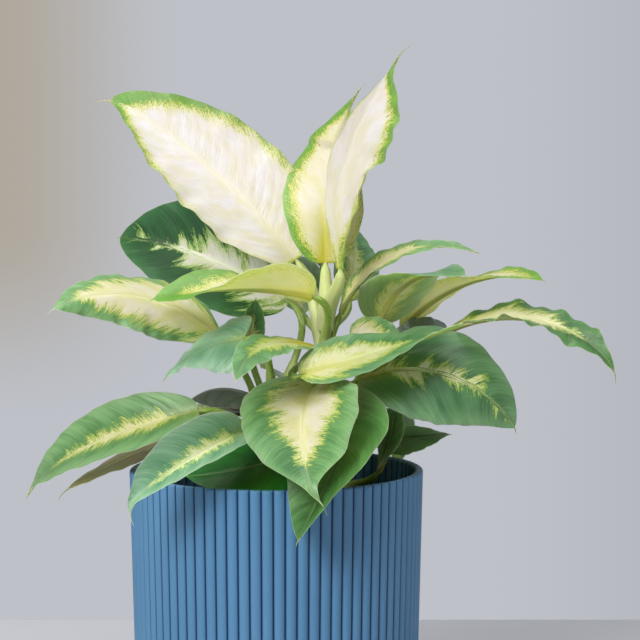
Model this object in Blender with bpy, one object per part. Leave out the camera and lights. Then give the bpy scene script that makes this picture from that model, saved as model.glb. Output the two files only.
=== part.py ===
"""Potted dieffenbachia: a bushy, cream-and-green foliage plant in a round, reeded cover pot.

The pot is one turned shell whose outside carries a ring of upright reeds. It is filled with potting soil
to a little below the rim. Three canes grow out of the soil, each one solid with the stalks of its leaves,
and each leaf blade is a thin solid of its own at the end of its stalk.

Frame: metres, +Z up, origin at the centre of the pot's flat underside. The plant's front faces -Y.
Lengths in the tables and constants below are millimetres and turn into metres through MM.
Run in Blender 4.5 or newer.
"""

from typing import NamedTuple

import bmesh
import bpy
import numpy as np

MM = 0.001
GAP = 0.3  # clearance between pieces that touch
SHARP_ANGLE = np.radians(50)  # edges this sharp stay crisp in the shading

# The pot.
POT_HEIGHT = 165.0
POT_RIM_RADIUS = 90.0
POT_FOOT_RADIUS = 86.0
POT_WALL = 4.5
POT_FLOOR = 5.0
POT_EDGE = 1.2  # bevel at the foot and round the rim
REED_COUNT = 80
REED_DEPTH = 2.0
POINTS_PER_REED = 3

# The soil.
SOIL_DROP = 27.0  # from the rim down to the soil at the wall
SOIL_CROWN = 5.0  # how far the soil rises towards the canes
SOIL_SIDES = 48
SOIL_RING_SHARES = (0.85, 0.69, 0.53, 0.36, 0.2)  # of the soil's edge radius

# The canes and the leaf stalks.
CANE_FOOT_RADIUS = 7.0
CANE_TIP_RADIUS = 4.5
CANE_SIDES = 12
CANE_LEVELS = 9
CANE_SINK = 9.0  # how far a cane's foot stands in its hole in the soil
STALK_SHEATH_RADIUS = 3.6  # where the stalk clasps the cane
STALK_TIP_RADIUS = 1.7  # where it meets the blade
STALK_GAP = 0.8  # between the stalk's end and the blade, whose faces aren't parallel
STALK_CLIMB = 0.38  # how far a stalk runs up its cane before it leaves, as a share of its span
STALK_LEAN = 0.1  # how far it leans out on the way, as a share of its span
STALK_RUN_IN = 0.3  # how far it follows the blade's own direction at its end
STALK_SIDES = 7
STALK_STEPS = 7

# The leaf blades.
BLADE_STATIONS = (0.0, 0.05, 0.14, 0.26, 0.4, 0.54, 0.68, 0.8, 0.9, 0.965)
BLADE_BASE_SHARE = 0.07  # half-width at the stalk, as a share of the widest half-width
MIDRIB_THICK = 2.2  # blade and midrib together, at the stalk
MIDRIB_TIP_SHARE = 0.4  # what is left of that at the tip
BLADE_THICK = 0.8
BLADE_THIN_BELOW = 4.0  # half-width under which the blade thins towards its ends
MIDLINE_STEPS = 60
CURVE_STEPS = 90


class Leaf(NamedTuple):
    """One leaf: where its blade starts, which way it points and how it bends."""

    stem: str  # the cane it grows from
    node: float  # height on that cane where its stalk leaves, mm above the table
    base: tuple  # where the blade meets the stalk, mm
    heading: float  # bearing of the midrib at the base, degrees from +X towards +Y
    rise: float  # climb of the midrib at the base, degrees
    length: float
    width: float
    droop: float  # how much the climb has fallen at the tip, degrees
    veer: float = 0.0  # how much the bearing has turned at the tip, degrees
    roll: float = 0.0  # lean of the blade about its midrib, right side down, degrees
    twist: float = 0.0  # roll gained towards the tip
    fold: float = 10.0  # how far each half is raised from flat at the midrib
    cup: tuple = (0.0, 0.0)  # further upward bend of the left and right half
    belly: float = 0.0  # moves the widest place towards the tip


CANES = {
    "stem_tall": ((17, 8, 0), (20, 8, 150), (26, 6, 200), (29, 5, 240), (31, 6, 262)),
    "stem_left": ((-10, -4, 0), (-8, -6, 150), (-4, -8, 175), (0, -9, 197)),
    "stem_right": ((40, 18, 0), (41, 17, 150), (46, 15, 175), (48, 14, 197)),
}

# Each row: stem, node, base, heading, rise, length, width, droop, veer, roll, twist, fold, cup, belly.
LEAVES = {
    # the crown: young, upright, almost all cream
    "leaf_upper_left": Leaf(
        "stem_tall", 240, (12, 20, 292), 163, 50, 156, 76, 18, 11, -62, 0, 13, (26, 1), 0.08
    ),
    "leaf_upright_furled": Leaf(
        "stem_tall", 250, (30, 3, 291), 87, 80, 126, 56, 41, -28, -2, -50, 26, (0, -23), 0.28
    ),
    "leaf_upright_tall": Leaf(
        "stem_tall", 255, (38, -17, 288), 36, 96, 135, 69, 45, -28, 7, -7, -7, (3, -17), -0.97
    ),
    "leaf_behind_crown": Leaf(
        "stem_tall", 235, (46, 48, 265), 75, 68, 60, 34, 38, 14, 30, 20, 14, (0, 0), 0.0
    ),
    # the left side
    "leaf_back_left": Leaf(
        "stem_left", 185, (7, 38, 265), 177, 34, 126, 78, 32, -34, -74, 18, 25, (7, 16), 0.12
    ),
    "leaf_middle_left": Leaf(
        "stem_left", 180, (-35, -13, 248), 196, 43, 114, 47, 65, 25, -60, 20, -10, (-30, -20), 0.05
    ),
    "leaf_arched_left": Leaf(
        "stem_tall", 225, (22, -33, 273), 188, 13, 95, 48, 28, -10, 52, -102, 30, (-20, -5), 0.4
    ),
    "leaf_small_curled": Leaf(
        "stem_left", 192, (-18, -42, 249), 157, -7, 55, 50, 38, 51, -47, 54, -5, (-19, -7), 0.84
    ),
    "leaf_small_upright": Leaf(
        "stem_left", 192, (-15, -12, 243), 112, 104, 28, 16, -9, -1, -9, -9, 28, (0, 0), 0.08
    ),
    "leaf_small_splashed": Leaf(
        "stem_tall", 215, (25, -24, 242), 220, 16, 98, 25, 46, 42, -20, -10, 3, (0, -17), 0.17
    ),
    "leaf_low_left": Leaf(
        "stem_left", 170, (-46, -28, 204), 176, -13, 156, 43, 22, -60, -54, 0, 18, (0, 10), 0.2
    ),
    "leaf_under_left": Leaf(
        "stem_left", 162, (-38, 5, 189), 187, -10, 98, 38, 24, -5, -6, -6, -5, (0, 0), 0.0
    ),
    "leaf_low_back_left": Leaf(
        "stem_left", 166, (-9, 15, 205), 146, 23, 66, 31, 54, -15, 3, -30, -18, (-50, -40), 0.2
    ),
    # the front
    "leaf_rim_left": Leaf(
        "stem_left", 165, (-18, -60, 196), 237, -8, 91, 43, 37, -58, -43, -10, 30, (34, 37), 0.1
    ),
    "leaf_rim_front": Leaf(
        "stem_left", 156, (10, -47, 181), 205, -17, 65, 50, -14, -19, -39, 15, -7, (0, 0), 0.1
    ),
    "leaf_front_heart": Leaf(
        "stem_right", 185, (23, -24, 219), 255, -13, 112, 75, 35, 32, 0, 15, 21, (7, 4), -0.15
    ),
    "leaf_front_hanging": Leaf(
        "stem_right", 178, (44, -26, 218), 279, -20, 125, 58, 38, -62, -2, 14, 17, (-2, 0), -0.4
    ),
    "leaf_front_right": Leaf(
        "stem_tall", 222, (15, -51, 228), 15, 15, 108, 46, 1, 6, 45, -65, 9, (0, 0), 0.07
    ),
    # the right side
    "leaf_right_broad": Leaf(
        "stem_right", 190, (49, -15, 221), -9, 25, 110, 70, 84, 22, 38, 32, 0, (-12, -12), 0.08
    ),
    "leaf_right_slim": Leaf(
        "stem_tall", 225, (38, 6, 260), -5, 68, 103, 20, 89, 16, 22, 0, 10, (0, 0), 0.02
    ),
    "leaf_right_cupped": Leaf(
        "stem_tall", 220, (63, 20, 254), -36, 67, 76, 54, 82, 0, -33, 53, 3, (0, 0), 0.13
    ),
    "leaf_right_long": Leaf(
        "stem_right", 188, (78, 52, 246), -21, 49, 113, 32, 60, -26, -38, 68, 15, (0, 0), -0.15
    ),
    "leaf_far_right": Leaf(
        "stem_right", 192, (106, 15, 250), -18, 24, 119, 35, 69, -20, 9, 19, 15, (-12, 0), 0.07
    ),
    "leaf_low_right": Leaf(
        "stem_right", 160, (67, 19, 179), -4, 9, 40, 32, 4, 0, 39, -30, -5, (0, 0), 0.0
    ),
    "leaf_inner_right": Leaf(
        "stem_right", 144, (61, -5, 164), -13, 63, 43, 29, -22, 29, 7, 34, 2, (0, 0), -0.1
    ),
    "leaf_inner_pale": Leaf(
        "stem_right", 180, (46, -8, 244), 2, 16, 32, 30, 30, 10, 52, 0, 5, (0, 0), 0.1
    ),
    # the back
    "leaf_back_right": Leaf(
        "stem_right", 194, (66, 24, 236), 18, 23, 66, 25, 30, 56, 10, 45, 10, (8, -10), -0.2
    ),
    "leaf_inner_back": Leaf(
        "stem_left", 192, (9, 45, 211), 111, 20, 69, 34, 31, -6, 22, 14, 2, (0, 0), 0.0
    ),
    "leaf_back_high": Leaf(
        "stem_tall", 232, (16, 50, 258), 112, 42, 125, 56, 55, 10, 0, 0, 8, (-5, -5), 0.0
    ),
    "leaf_back_upright": Leaf(
        "stem_tall", 245, (28, 62, 287), 103, 60, 102, 44, 46, -5, 0, 0, 12, (0, 0), 0.0
    ),
    "leaf_back_broad": Leaf(
        "stem_right", 188, (58, 50, 222), 38, 8, 112, 56, 40, 0, 12, 0, 8, (-5, -5), 0.0
    ),
    "leaf_back_centre": Leaf(
        "stem_left", 178, (18, 42, 200), 97, 5, 118, 54, 70, 0, 0, 0, 8, (-8, -8), 0.0
    ),
    "leaf_back_low_left": Leaf(
        "stem_left", 160, (-22, 32, 196), 138, 5, 118, 50, 55, 8, -10, 0, 8, (-5, -5), 0.0
    ),
    "leaf_back_low_right": Leaf(
        "stem_right", 168, (50, 45, 195), 70, 10, 105, 44, 75, 0, 10, 0, 8, (-5, -5), 0.0
    ),
}

MATERIALS = {
    "pot": ((0.07, 0.19, 0.36, 1.0), 0.5),
    "potting_soil": ((0.05, 0.035, 0.025, 1.0), 0.95),
    "stem": ((0.22, 0.42, 0.10, 1.0), 0.45),
    "leaf": ((0.10, 0.33, 0.11, 1.0), 0.4),
    "young_leaf": ((0.78, 0.80, 0.45, 1.0), 0.4),
}
YOUNG_LEAVES = ("leaf_upper_left", "leaf_upright_furled", "leaf_upright_tall")


# ---------------------------------------------------------------- shapes worked out with numpy


def smooth_curve(points, count):
    """Return count points on a Catmull-Rom curve through points."""
    knots = np.asarray(points, float)
    knots = np.vstack([2 * knots[0] - knots[1], knots, 2 * knots[-1] - knots[-2]])
    place = np.linspace(0, len(knots) - 3, count)
    left = np.minimum(place.astype(int), len(knots) - 4)
    t = (place - left)[:, None]
    p0, p1, p2, p3 = (knots[left + k] for k in range(4))
    return 0.5 * (
        2 * p1 + (p2 - p0) * t + (2 * p0 - 5 * p1 + 4 * p2 - p3) * t**2
        + (3 * p1 - p0 - 3 * p2 + p3) * t**3
    )


def outline_share(u, belly):
    """Half-width at u along the blade, as a share of the widest: a round base, then a drawn-out point."""
    v = np.clip(u, 0, 1) ** (2.0**-belly)
    swell = np.clip(np.sin(np.pi * v**0.8), 0, 1) ** 0.72
    return np.maximum(swell, BLADE_BASE_SHARE * (1 - v) ** 6)


def midline(leaf, u):
    """Points along the midrib at shares u, with the directions forward, out of the face and to the right."""
    fine = np.linspace(0, 1, MIDLINE_STEPS + 1)
    frames = []
    for share in (fine, u):
        bearing = np.radians(leaf.heading + leaf.veer * share)
        climb = np.radians(leaf.rise - leaf.droop * share)
        forward = np.stack(
            [np.cos(climb) * np.cos(bearing), np.cos(climb) * np.sin(bearing), np.sin(climb)], -1
        )
        up = np.stack(
            [-np.sin(climb) * np.cos(bearing), -np.sin(climb) * np.sin(bearing), np.cos(climb)], -1
        )
        frames.append((forward, up))
    steps = (frames[0][0][1:] + frames[0][0][:-1]) / 2 * leaf.length / MIDLINE_STEPS
    path = np.vstack([np.zeros(3), np.cumsum(steps, 0)]) + leaf.base
    points = np.stack([np.interp(u, fine, path[:, axis]) for axis in range(3)], -1)
    forward, up = frames[1]
    side = np.cross(forward, up)
    lean = np.radians(leaf.roll + leaf.twist * u)[:, None]
    return points, forward, up * np.cos(lean) + side * np.sin(lean), side * np.cos(lean) - up * np.sin(lean)


def across(half_width, fold, cup, share):
    """Sideways reach, height and slope at a share of one half of the blade: an arc that starts at fold."""
    start = np.radians(fold)
    bend = np.radians(cup if abs(cup) > 0.1 else 0.1)
    slope = start + bend * share
    reach = half_width / bend * (np.sin(slope) - np.sin(start))
    height = half_width / bend * (np.cos(start) - np.cos(slope))
    return reach, height, slope


def blade_rings(leaf):
    """Rings of eight points round the blade: five over the top, three back underneath."""
    u = np.array(BLADE_STATIONS)
    points, _, out, right = midline(leaf, u)
    half_width = leaf.width / 2 * outline_share(u, leaf.belly)
    fade = 1 - (1 - MIDRIB_TIP_SHARE) * u
    top, under = [], []
    for side, cup in ((-1, leaf.cup[0]), (1, leaf.cup[1])):
        for share, thick in ((1.0, 0.0), (0.5, BLADE_THICK)):
            reach, height, slope = across(half_width, leaf.fold, cup, share)
            place = points + right * (side * reach)[:, None] + out * height[:, None]
            face = out * np.cos(slope) - right * side * np.sin(slope)
            top.append(place)
            thinned = thick * np.minimum(1, half_width / BLADE_THIN_BELOW)
            under.append(place - face * thinned[:, None])
    spine = points - out * (MIDRIB_THICK * fade)[:, None]
    left_edge, left_mid, right_edge, right_mid = top
    _, left_under, _, right_under = under
    ring = (left_edge, left_mid, points, right_mid, right_edge, right_under, spine, left_under)
    return np.stack(ring, 1)


def blade_tip(leaf):
    """The blade's pointed end, at half the midrib's depth there."""
    points, _, out, _ = midline(leaf, np.array([1.0]))
    return points[0] - out[0] * MIDRIB_THICK * MIDRIB_TIP_SHARE / 2


def stalk_path(leaf):
    """A stalk from inside its cane, up and out, then along the blade's own direction to its base."""
    cane = smooth_curve(CANES[leaf.stem], CURVE_STEPS)
    start = np.array([np.interp(leaf.node, cane[:, 2], cane[:, axis]) for axis in range(3)])
    points, forward, out, _ = midline(leaf, np.array([0.0]))
    end = points[0] - out[0] * MIDRIB_THICK / 2 - forward[0] * STALK_GAP
    reach = np.linalg.norm(end - start)
    outward = (end - start) * (1, 1, 0)
    outward = outward / np.linalg.norm(outward)
    first = start + (outward * STALK_LEAN + (0, 0, STALK_CLIMB)) * reach
    last = end - forward[0] * STALK_RUN_IN * reach
    t = np.linspace(0, 1, STALK_STEPS + 1)[:, None]
    return (1 - t) ** 3 * start + 3 * (1 - t) ** 2 * t * first + 3 * (1 - t) * t**2 * last + t**3 * end


def tube_rings(path, radii, sides):
    """Rings of sides points round a path, carried along it without spinning."""
    along = np.gradient(path, axis=0)
    along /= np.linalg.norm(along, axis=1)[:, None]
    angle = np.linspace(0, 2 * np.pi, sides, endpoint=False)
    side = np.cross(along[0], (0, 1, 0.1))
    rings = []
    for centre, direction, radius in zip(path, along, radii, strict=True):
        side = side - direction * (side @ direction)
        side /= np.linalg.norm(side)
        other = np.cross(direction, side)
        rings.append(
            centre + radius * (np.outer(np.cos(angle), side) + np.outer(np.sin(angle), other))
        )
    return np.array(rings)


def reeded_ring(radius, height, depth):
    """One level of the pot's outside: convex reeds whose grooves are depth deep."""
    count = REED_COUNT * POINTS_PER_REED
    angle = np.linspace(0, 2 * np.pi, count, endpoint=False)
    across_reed = (np.arange(count) % POINTS_PER_REED) / POINTS_PER_REED
    bulge = np.sin(np.pi * across_reed) ** 0.5
    reach = radius - depth * (1 - bulge)
    return np.stack([reach * np.cos(angle), reach * np.sin(angle), np.full(count, height)], -1)


# ---------------------------------------------------------------- solids


def loft(bm, rings, tip=None):
    """Skin equal rings into a closed body, with flat ends or a pointed tip."""
    rows = [[bm.verts.new(point * MM) for point in ring] for ring in rings]
    count = len(rows[0])
    for lower, upper in zip(rows[:-1], rows[1:]):
        for k in range(count):
            after = (k + 1) % count
            bm.faces.new((lower[k], lower[after], upper[after], upper[k]))
    bm.faces.new(rows[0][::-1])
    if tip is None:
        bm.faces.new(rows[-1])
    else:
        point = bm.verts.new(tip * MM)
        for k in range(count):
            bm.faces.new((rows[-1][k], rows[-1][(k + 1) % count], point))


def new_object(name, bm, material):
    """Turn a finished bmesh into a triangulated, outward-facing object."""
    bmesh.ops.triangulate(bm, faces=bm.faces)
    bmesh.ops.recalc_face_normals(bm, faces=bm.faces)
    mesh = bpy.data.meshes.new(name)
    bm.to_mesh(mesh)
    bm.free()
    mesh.shade_smooth()
    mesh.set_sharp_from_angle(angle=SHARP_ANGLE)
    mesh.materials.append(material)
    built = bpy.data.objects.new(name, mesh)
    bpy.context.scene.collection.objects.link(built)
    return built


def make_material(name, colour, roughness):
    """A plain Principled finish for one kind of piece."""
    material = bpy.data.materials.new(name)
    material.use_nodes = True
    shader = material.node_tree.nodes["Principled BSDF"]
    shader.inputs["Base Color"].default_value = colour
    shader.inputs["Roughness"].default_value = roughness
    shader.inputs["Metallic"].default_value = 0.0
    material.diffuse_color = colour
    return material


def soil_top(radius):
    """Height of the soil at a distance from the pot's middle: a low mound."""
    share = np.clip(radius / (POT_RIM_RADIUS - POT_WALL), 0, 1)
    return POT_HEIGHT - SOIL_DROP + SOIL_CROWN * (1 - share**2)


def wall_radius(height):
    """Radius of the pot's inside wall at a height."""
    taper = (POT_RIM_RADIUS - POT_FOOT_RADIUS) / POT_HEIGHT
    return POT_FOOT_RADIUS + taper * height - POT_WALL


def build_pot(material):
    """The reeded shell: flat foot, tapered wall, rounded rim, smooth inside and a flat floor."""
    taper = (POT_RIM_RADIUS - POT_FOOT_RADIUS) / POT_HEIGHT
    levels = [
        (POT_FOOT_RADIUS - REED_DEPTH - POT_EDGE, 0.0, 0.0),
        (POT_FOOT_RADIUS + taper * POT_EDGE, POT_EDGE, REED_DEPTH),
        (POT_RIM_RADIUS - taper * POT_EDGE, POT_HEIGHT - POT_EDGE, REED_DEPTH),
        (POT_RIM_RADIUS - POT_EDGE, POT_HEIGHT, REED_DEPTH / 2),
        (wall_radius(POT_HEIGHT) + POT_EDGE, POT_HEIGHT, 0.0),
        (wall_radius(POT_HEIGHT - POT_EDGE), POT_HEIGHT - POT_EDGE, 0.0),
        (wall_radius(POT_FLOOR), POT_FLOOR, 0.0),
    ]
    bm = bmesh.new()
    loft(bm, [reeded_ring(*level) for level in levels])
    return new_object("pot", bm, material)


def build_soil(material):
    """The filling: a plug clear of the pot, mounded on top, with a round hole for each cane's foot."""
    angle = np.linspace(0, 2 * np.pi, SOIL_SIDES, endpoint=False)

    def ring(radius, height):
        level = np.full(SOIL_SIDES, height)
        return np.stack([radius * np.cos(angle), radius * np.sin(angle), level], -1)

    floor = POT_FLOOR + GAP
    edge = POT_HEIGHT - SOIL_DROP
    rings = [ring(wall_radius(floor) - GAP * 2, floor), ring(wall_radius(edge) - GAP * 2, edge)]
    for share in SOIL_RING_SHARES:
        radius = share * wall_radius(edge)
        rings.append(ring(radius, soil_top(radius)))
    bm = bmesh.new()
    loft(bm, rings)
    soil = new_object("potting_soil", bm, material)
    for name, route in CANES.items():
        path = cane_path(route)
        foot = path[0] - (0, 0, GAP)
        hole = np.array([foot, foot + (path[2] - path[0])])
        cutter_bm = bmesh.new()
        loft(cutter_bm, tube_rings(hole, [CANE_FOOT_RADIUS + GAP] * 2, CANE_SIDES))
        cutter = new_object(name + "_hole", cutter_bm, material)
        cutter.hide_render = True
        cutter.display_type = "WIRE"
        cut = soil.modifiers.new(name + "_hole", "BOOLEAN")
        cut.operation = "DIFFERENCE"
        cut.object = cutter
    return soil


def cane_path(route):
    """The cane's centre line, from a little below the soil's surface to its tip."""
    fine = smooth_curve(route, CURVE_STEPS)
    foot = soil_top(np.hypot(fine[0, 0], fine[0, 1])) - CANE_SINK
    heights = np.linspace(foot, fine[-1, 2], CANE_LEVELS)
    return np.stack([np.interp(heights, fine[:, 2], fine[:, axis]) for axis in range(3)], -1)


def build_stem(name, route, material):
    """A cane with all its leaf stalks, joined into one solid."""
    path = cane_path(route)
    radii = np.linspace(CANE_FOOT_RADIUS, CANE_TIP_RADIUS, len(path))
    bm = bmesh.new()
    loft(bm, tube_rings(path, radii, CANE_SIDES))
    cane = new_object(name, bm, material)
    for leaf_name, leaf in LEAVES.items():
        if leaf.stem != name:
            continue
        route_out = stalk_path(leaf)
        radii = np.linspace(STALK_SHEATH_RADIUS, STALK_TIP_RADIUS, len(route_out))
        stalk_bm = bmesh.new()
        loft(stalk_bm, tube_rings(route_out, radii, STALK_SIDES))
        stalk = new_object(leaf_name.replace("leaf", "stalk"), stalk_bm, material)
        stalk.hide_render = True
        stalk.display_type = "WIRE"
        join = cane.modifiers.new(stalk.name, "BOOLEAN")
        join.operation = "UNION"
        join.object = stalk
    return cane


def build_blade(name, leaf, material):
    """One leaf blade."""
    bm = bmesh.new()
    loft(bm, blade_rings(leaf), tip=blade_tip(leaf))
    return new_object(name, bm, material)


def main():
    for old in list(bpy.data.objects):
        bpy.data.objects.remove(old)
    finish = {name: make_material(name, *look) for name, look in MATERIALS.items()}
    build_pot(finish["pot"])
    build_soil(finish["potting_soil"])
    for name, route in CANES.items():
        build_stem(name, route, finish["stem"])
    for name, leaf in LEAVES.items():
        build_blade(name, leaf, finish["young_leaf" if name in YOUNG_LEAVES else "leaf"])


main()
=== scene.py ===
# %% [markdown]
# # A potted dieffenbachia, from soil to leaf tips
#
# The plant has four kinds of pieces: a reeded cover pot, its soil, three canes with their leaf stalks, and
# thirty-four leaf blades. Each one is a surface worked out with numpy, because a leaf is easier to describe
# by a rule (a bent midline, an outline and a fold) than to push about by hand, and because the same rule
# then grows every leaf on the plant.
#
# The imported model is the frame: it says where everything is, and nothing in it moves.

# %% The frame and its box
from typing import NamedTuple

import bpy
import numpy as np
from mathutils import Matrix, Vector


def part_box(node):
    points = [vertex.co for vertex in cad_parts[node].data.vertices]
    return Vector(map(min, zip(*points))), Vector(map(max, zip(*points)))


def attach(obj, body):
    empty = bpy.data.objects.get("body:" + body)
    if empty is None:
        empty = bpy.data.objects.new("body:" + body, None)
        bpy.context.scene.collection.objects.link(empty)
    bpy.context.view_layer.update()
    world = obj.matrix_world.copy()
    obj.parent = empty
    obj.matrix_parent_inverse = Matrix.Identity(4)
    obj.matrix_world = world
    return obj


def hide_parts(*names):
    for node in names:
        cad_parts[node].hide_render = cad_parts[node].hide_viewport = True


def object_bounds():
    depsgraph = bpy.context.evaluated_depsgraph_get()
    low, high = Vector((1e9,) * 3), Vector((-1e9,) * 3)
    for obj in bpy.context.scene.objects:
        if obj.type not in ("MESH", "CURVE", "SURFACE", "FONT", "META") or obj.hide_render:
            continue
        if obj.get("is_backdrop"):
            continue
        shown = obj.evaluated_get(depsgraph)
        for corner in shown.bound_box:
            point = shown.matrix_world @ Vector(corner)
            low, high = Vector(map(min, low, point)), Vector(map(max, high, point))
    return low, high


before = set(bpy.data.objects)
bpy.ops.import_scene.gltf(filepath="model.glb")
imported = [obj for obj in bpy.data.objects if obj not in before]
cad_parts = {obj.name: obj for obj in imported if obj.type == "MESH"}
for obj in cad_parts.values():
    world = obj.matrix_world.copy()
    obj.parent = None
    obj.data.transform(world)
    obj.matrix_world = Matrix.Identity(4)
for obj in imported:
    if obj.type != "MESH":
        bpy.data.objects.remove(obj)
cad_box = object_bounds()
MM = 0.001
RIDES_ON = "root"
pot_low, pot_high = (np.array(corner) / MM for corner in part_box("pot"))
POT_HEIGHT = pot_high[2] - pot_low[2]
RIM_RADIUS = (pot_high[0] - pot_low[0]) / 2
print(f"pot {POT_HEIGHT:.1f} mm high, rim radius {RIM_RADIUS:.1f} mm, {len(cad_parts)} nodes")

# %% [markdown]
# ## Turning a grid of points into a closed skin
#
# Every piece below is a grid of points: rows that follow each other along the piece, each row a closed ring.
# Joining neighbours gives quads, and a fan of triangles round one extra point closes each end, so the piece
# is watertight, as a printed or simulated part has to be. A skin can come out inside out, depending on which
# way its rings turn. The sign of its volume tells, and the faces are turned round when it is negative.

# %% A skin from rings


def fan_and_quads(rows, ring):
    """Faces for rows of ring points: quads between rows, and a fan of triangles to a pole at each end."""
    index = np.arange(rows * ring).reshape(rows, ring)
    after = np.roll(index, -1, axis=1)
    quads = np.stack([index[:-1], after[:-1], after[1:], index[1:]], -1).reshape(-1, 4)
    first, last = rows * ring, rows * ring + 1
    start = np.stack([after[0], index[0], np.full(ring, first)], -1)
    end = np.stack([index[-1], after[-1], np.full(ring, last)], -1)
    return quads, np.vstack([start, end])


def volume_of(points, quads, triangles):
    """The signed volume: the sum of a . (b x c) / 6 over all triangles, positive when faces point out."""
    faces = np.vstack([quads[:, [0, 1, 2]], quads[:, [0, 2, 3]], triangles])
    a, b, c = (points[faces[:, k]] for k in range(3))
    return (a * np.cross(b, c)).sum() / 6


def closed_grid(rings):
    """Points and outward faces of a ring grid: rings[row, place, xyz]."""
    poles = np.stack([rings[0].mean(0), rings[-1].mean(0)])
    points = np.vstack([rings.reshape(-1, 3), poles])
    quads, triangles = fan_and_quads(*rings.shape[:2])
    if volume_of(points, quads, triangles) < 0:
        quads, triangles = quads[:, ::-1], triangles[:, ::-1]
    return points, quads, triangles


def new_piece(name, points, quads, triangles, finish, slot, replaces=(), fields=None):
    """Put points (in millimetres), faces and per-point fields into a mesh, and tell the frame about it."""
    corners = np.concatenate([quads.ravel(), triangles.ravel()])
    starts = np.concatenate([np.arange(len(quads)) * 4, quads.size + np.arange(len(triangles)) * 3])
    mesh = bpy.data.meshes.new(name)
    mesh.vertices.add(len(points))
    mesh.vertices.foreach_set("co", (points * MM).astype(np.float32).ravel())
    mesh.loops.add(len(corners))
    mesh.loops.foreach_set("vertex_index", corners.astype(np.int32))
    mesh.polygons.add(len(starts))
    mesh.polygons.foreach_set("loop_start", starts.astype(np.int32))
    mesh.update(calc_edges=True)
    mesh.shade_smooth()
    for field, values in (fields or {}).items():
        made = mesh.attributes.new(field, "FLOAT_VECTOR", "POINT")
        made.data.foreach_set("vector", values.astype(np.float32).ravel())
    mesh.materials.append(finish)
    piece = bpy.data.objects.new(name, mesh)
    bpy.context.scene.collection.objects.link(piece)
    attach(piece, RIDES_ON)
    if replaces:
        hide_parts(*replaces)
    return piece


def skin(name, rings, finish, slot, replaces=(), fields=None):
    """A closed piece from rings, with fields[row, place, 3] carried to its points and poles."""
    whole = {
        field: np.vstack([values.reshape(-1, 3), values[0].mean(0), values[-1].mean(0)])
        for field, values in (fields or {}).items()
    }
    return new_piece(name, *closed_grid(rings), finish, slot, replaces, whole)


# %% [markdown]
# ## Small helpers for finishes
#
# A finish is a tree of nodes. A few helpers keep the trees readable: one adds a node and wires its inputs,
# others do arithmetic, mix colours and make stretched noise. Colours are written as the familiar 0 to 255
# values of a screen and turned into linear light, which is what a renderer adds up.

# %% Node helpers


def linear(*screen):
    """Screen values as linear light: a straight line below a small step, and a power of 2.4 above it."""
    share = np.array(screen) / 255
    light = np.where(share <= 0.04045, share / 12.92, ((share + 0.055) / 1.055) ** 2.4)
    return (*light.tolist(), 1.0)


def wire(tree, value, socket):
    """Feed a socket from another socket, or set it to a plain value."""
    if isinstance(value, bpy.types.NodeSocket):
        tree.links.new(value, socket)
    else:
        socket.default_value = value


def add(tree, kind, inputs=None, **settings):
    """Add a node, set its properties, and wire its inputs by name or number."""
    made = tree.nodes.new(kind)
    for name, value in settings.items():
        setattr(made, name, value)
    for name, value in (inputs or {}).items():
        wire(tree, value, made.inputs[name])
    return made


def sums(tree, operation, *values):
    """One Math node."""
    return add(tree, "ShaderNodeMath", dict(enumerate(values)), operation=operation).outputs[0]


def times(tree, first, second):
    """The product of two values."""
    return sums(tree, "MULTIPLY", first, second)


def split(tree, vector):
    """The three parts of a vector."""
    return add(tree, "ShaderNodeSeparateXYZ", {0: vector}).outputs


def carried(tree, name):
    """A map that the piece carries at its points."""
    return add(tree, "ShaderNodeAttribute", attribute_name=name).outputs["Vector"]


def ease(tree, value, low, high, to_low=0.0, to_high=1.0):
    """A smooth step: as value goes from low to high, the result goes from to_low to to_high."""
    made = add(
        tree, "ShaderNodeMapRange", {0: value, 1: low, 2: high, 3: to_low, 4: to_high},
        interpolation_type="SMOOTHSTEP",
    )
    return made.outputs[0]


def blend(tree, share, first, second):
    """A mix of two colours."""
    made = add(tree, "ShaderNodeMix", data_type="RGBA")
    for value, place in ((share, 0), (first, 6), (second, 7)):
        wire(tree, value, made.inputs[place])
    return made.outputs[2]


def cloud(tree, place, stretch, gain=1.0, detail=2.0, roughness=0.5):
    """Noise over a stretched place, centred on zero: feathers where the stretch is uneven."""
    scaled = add(tree, "ShaderNodeVectorMath", {0: place, 1: stretch}, operation="MULTIPLY").outputs[0]
    noise = add(
        tree, "ShaderNodeTexNoise",
        {"Vector": scaled, "Scale": 1.0, "Detail": detail, "Roughness": roughness},
    ).outputs[0]
    return times(tree, sums(tree, "SUBTRACT", noise, 0.5), gain)


def speckle(tree, place, stretch, detail, low, high, roughness=0.5):
    """Stretched noise through a smooth step: 0 where it is under low, 1 where it is over high."""
    return ease(tree, cloud(tree, place, stretch, 1.0, detail, roughness), low, high)


def ramp(tree, value, stops):
    """A colour ramp from (position, colour) stops."""
    made = add(tree, "ShaderNodeValToRGB", {0: value})
    band = made.color_ramp
    while len(band.elements) < len(stops):
        band.elements.new(0.5)
    for element, (position, colour) in zip(band.elements, stops, strict=True):
        element.position = position
        element.color = colour
    return made.outputs[0]


def new_finish(name):
    """An empty material: its tree and its Principled node."""
    material = bpy.data.materials.new(name)
    material.use_nodes = True
    tree = material.node_tree
    return material, tree, tree.nodes["Principled BSDF"]


def coat(tree, shader, colour, roughness, height, strength, distance):
    """Wire a colour, a roughness and a bump into the shader; distance is the bump's depth in metres."""
    bump = add(tree, "ShaderNodeBump", {"Strength": strength, "Distance": distance, "Height": height})
    for name, value in (("Base Color", colour), ("Roughness", roughness), ("Normal", bump.outputs[0])):
        wire(tree, value, shader.inputs[name])


LIGHT_RUN = 0.003  # how far light runs inside leaves and stems, in metres


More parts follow.
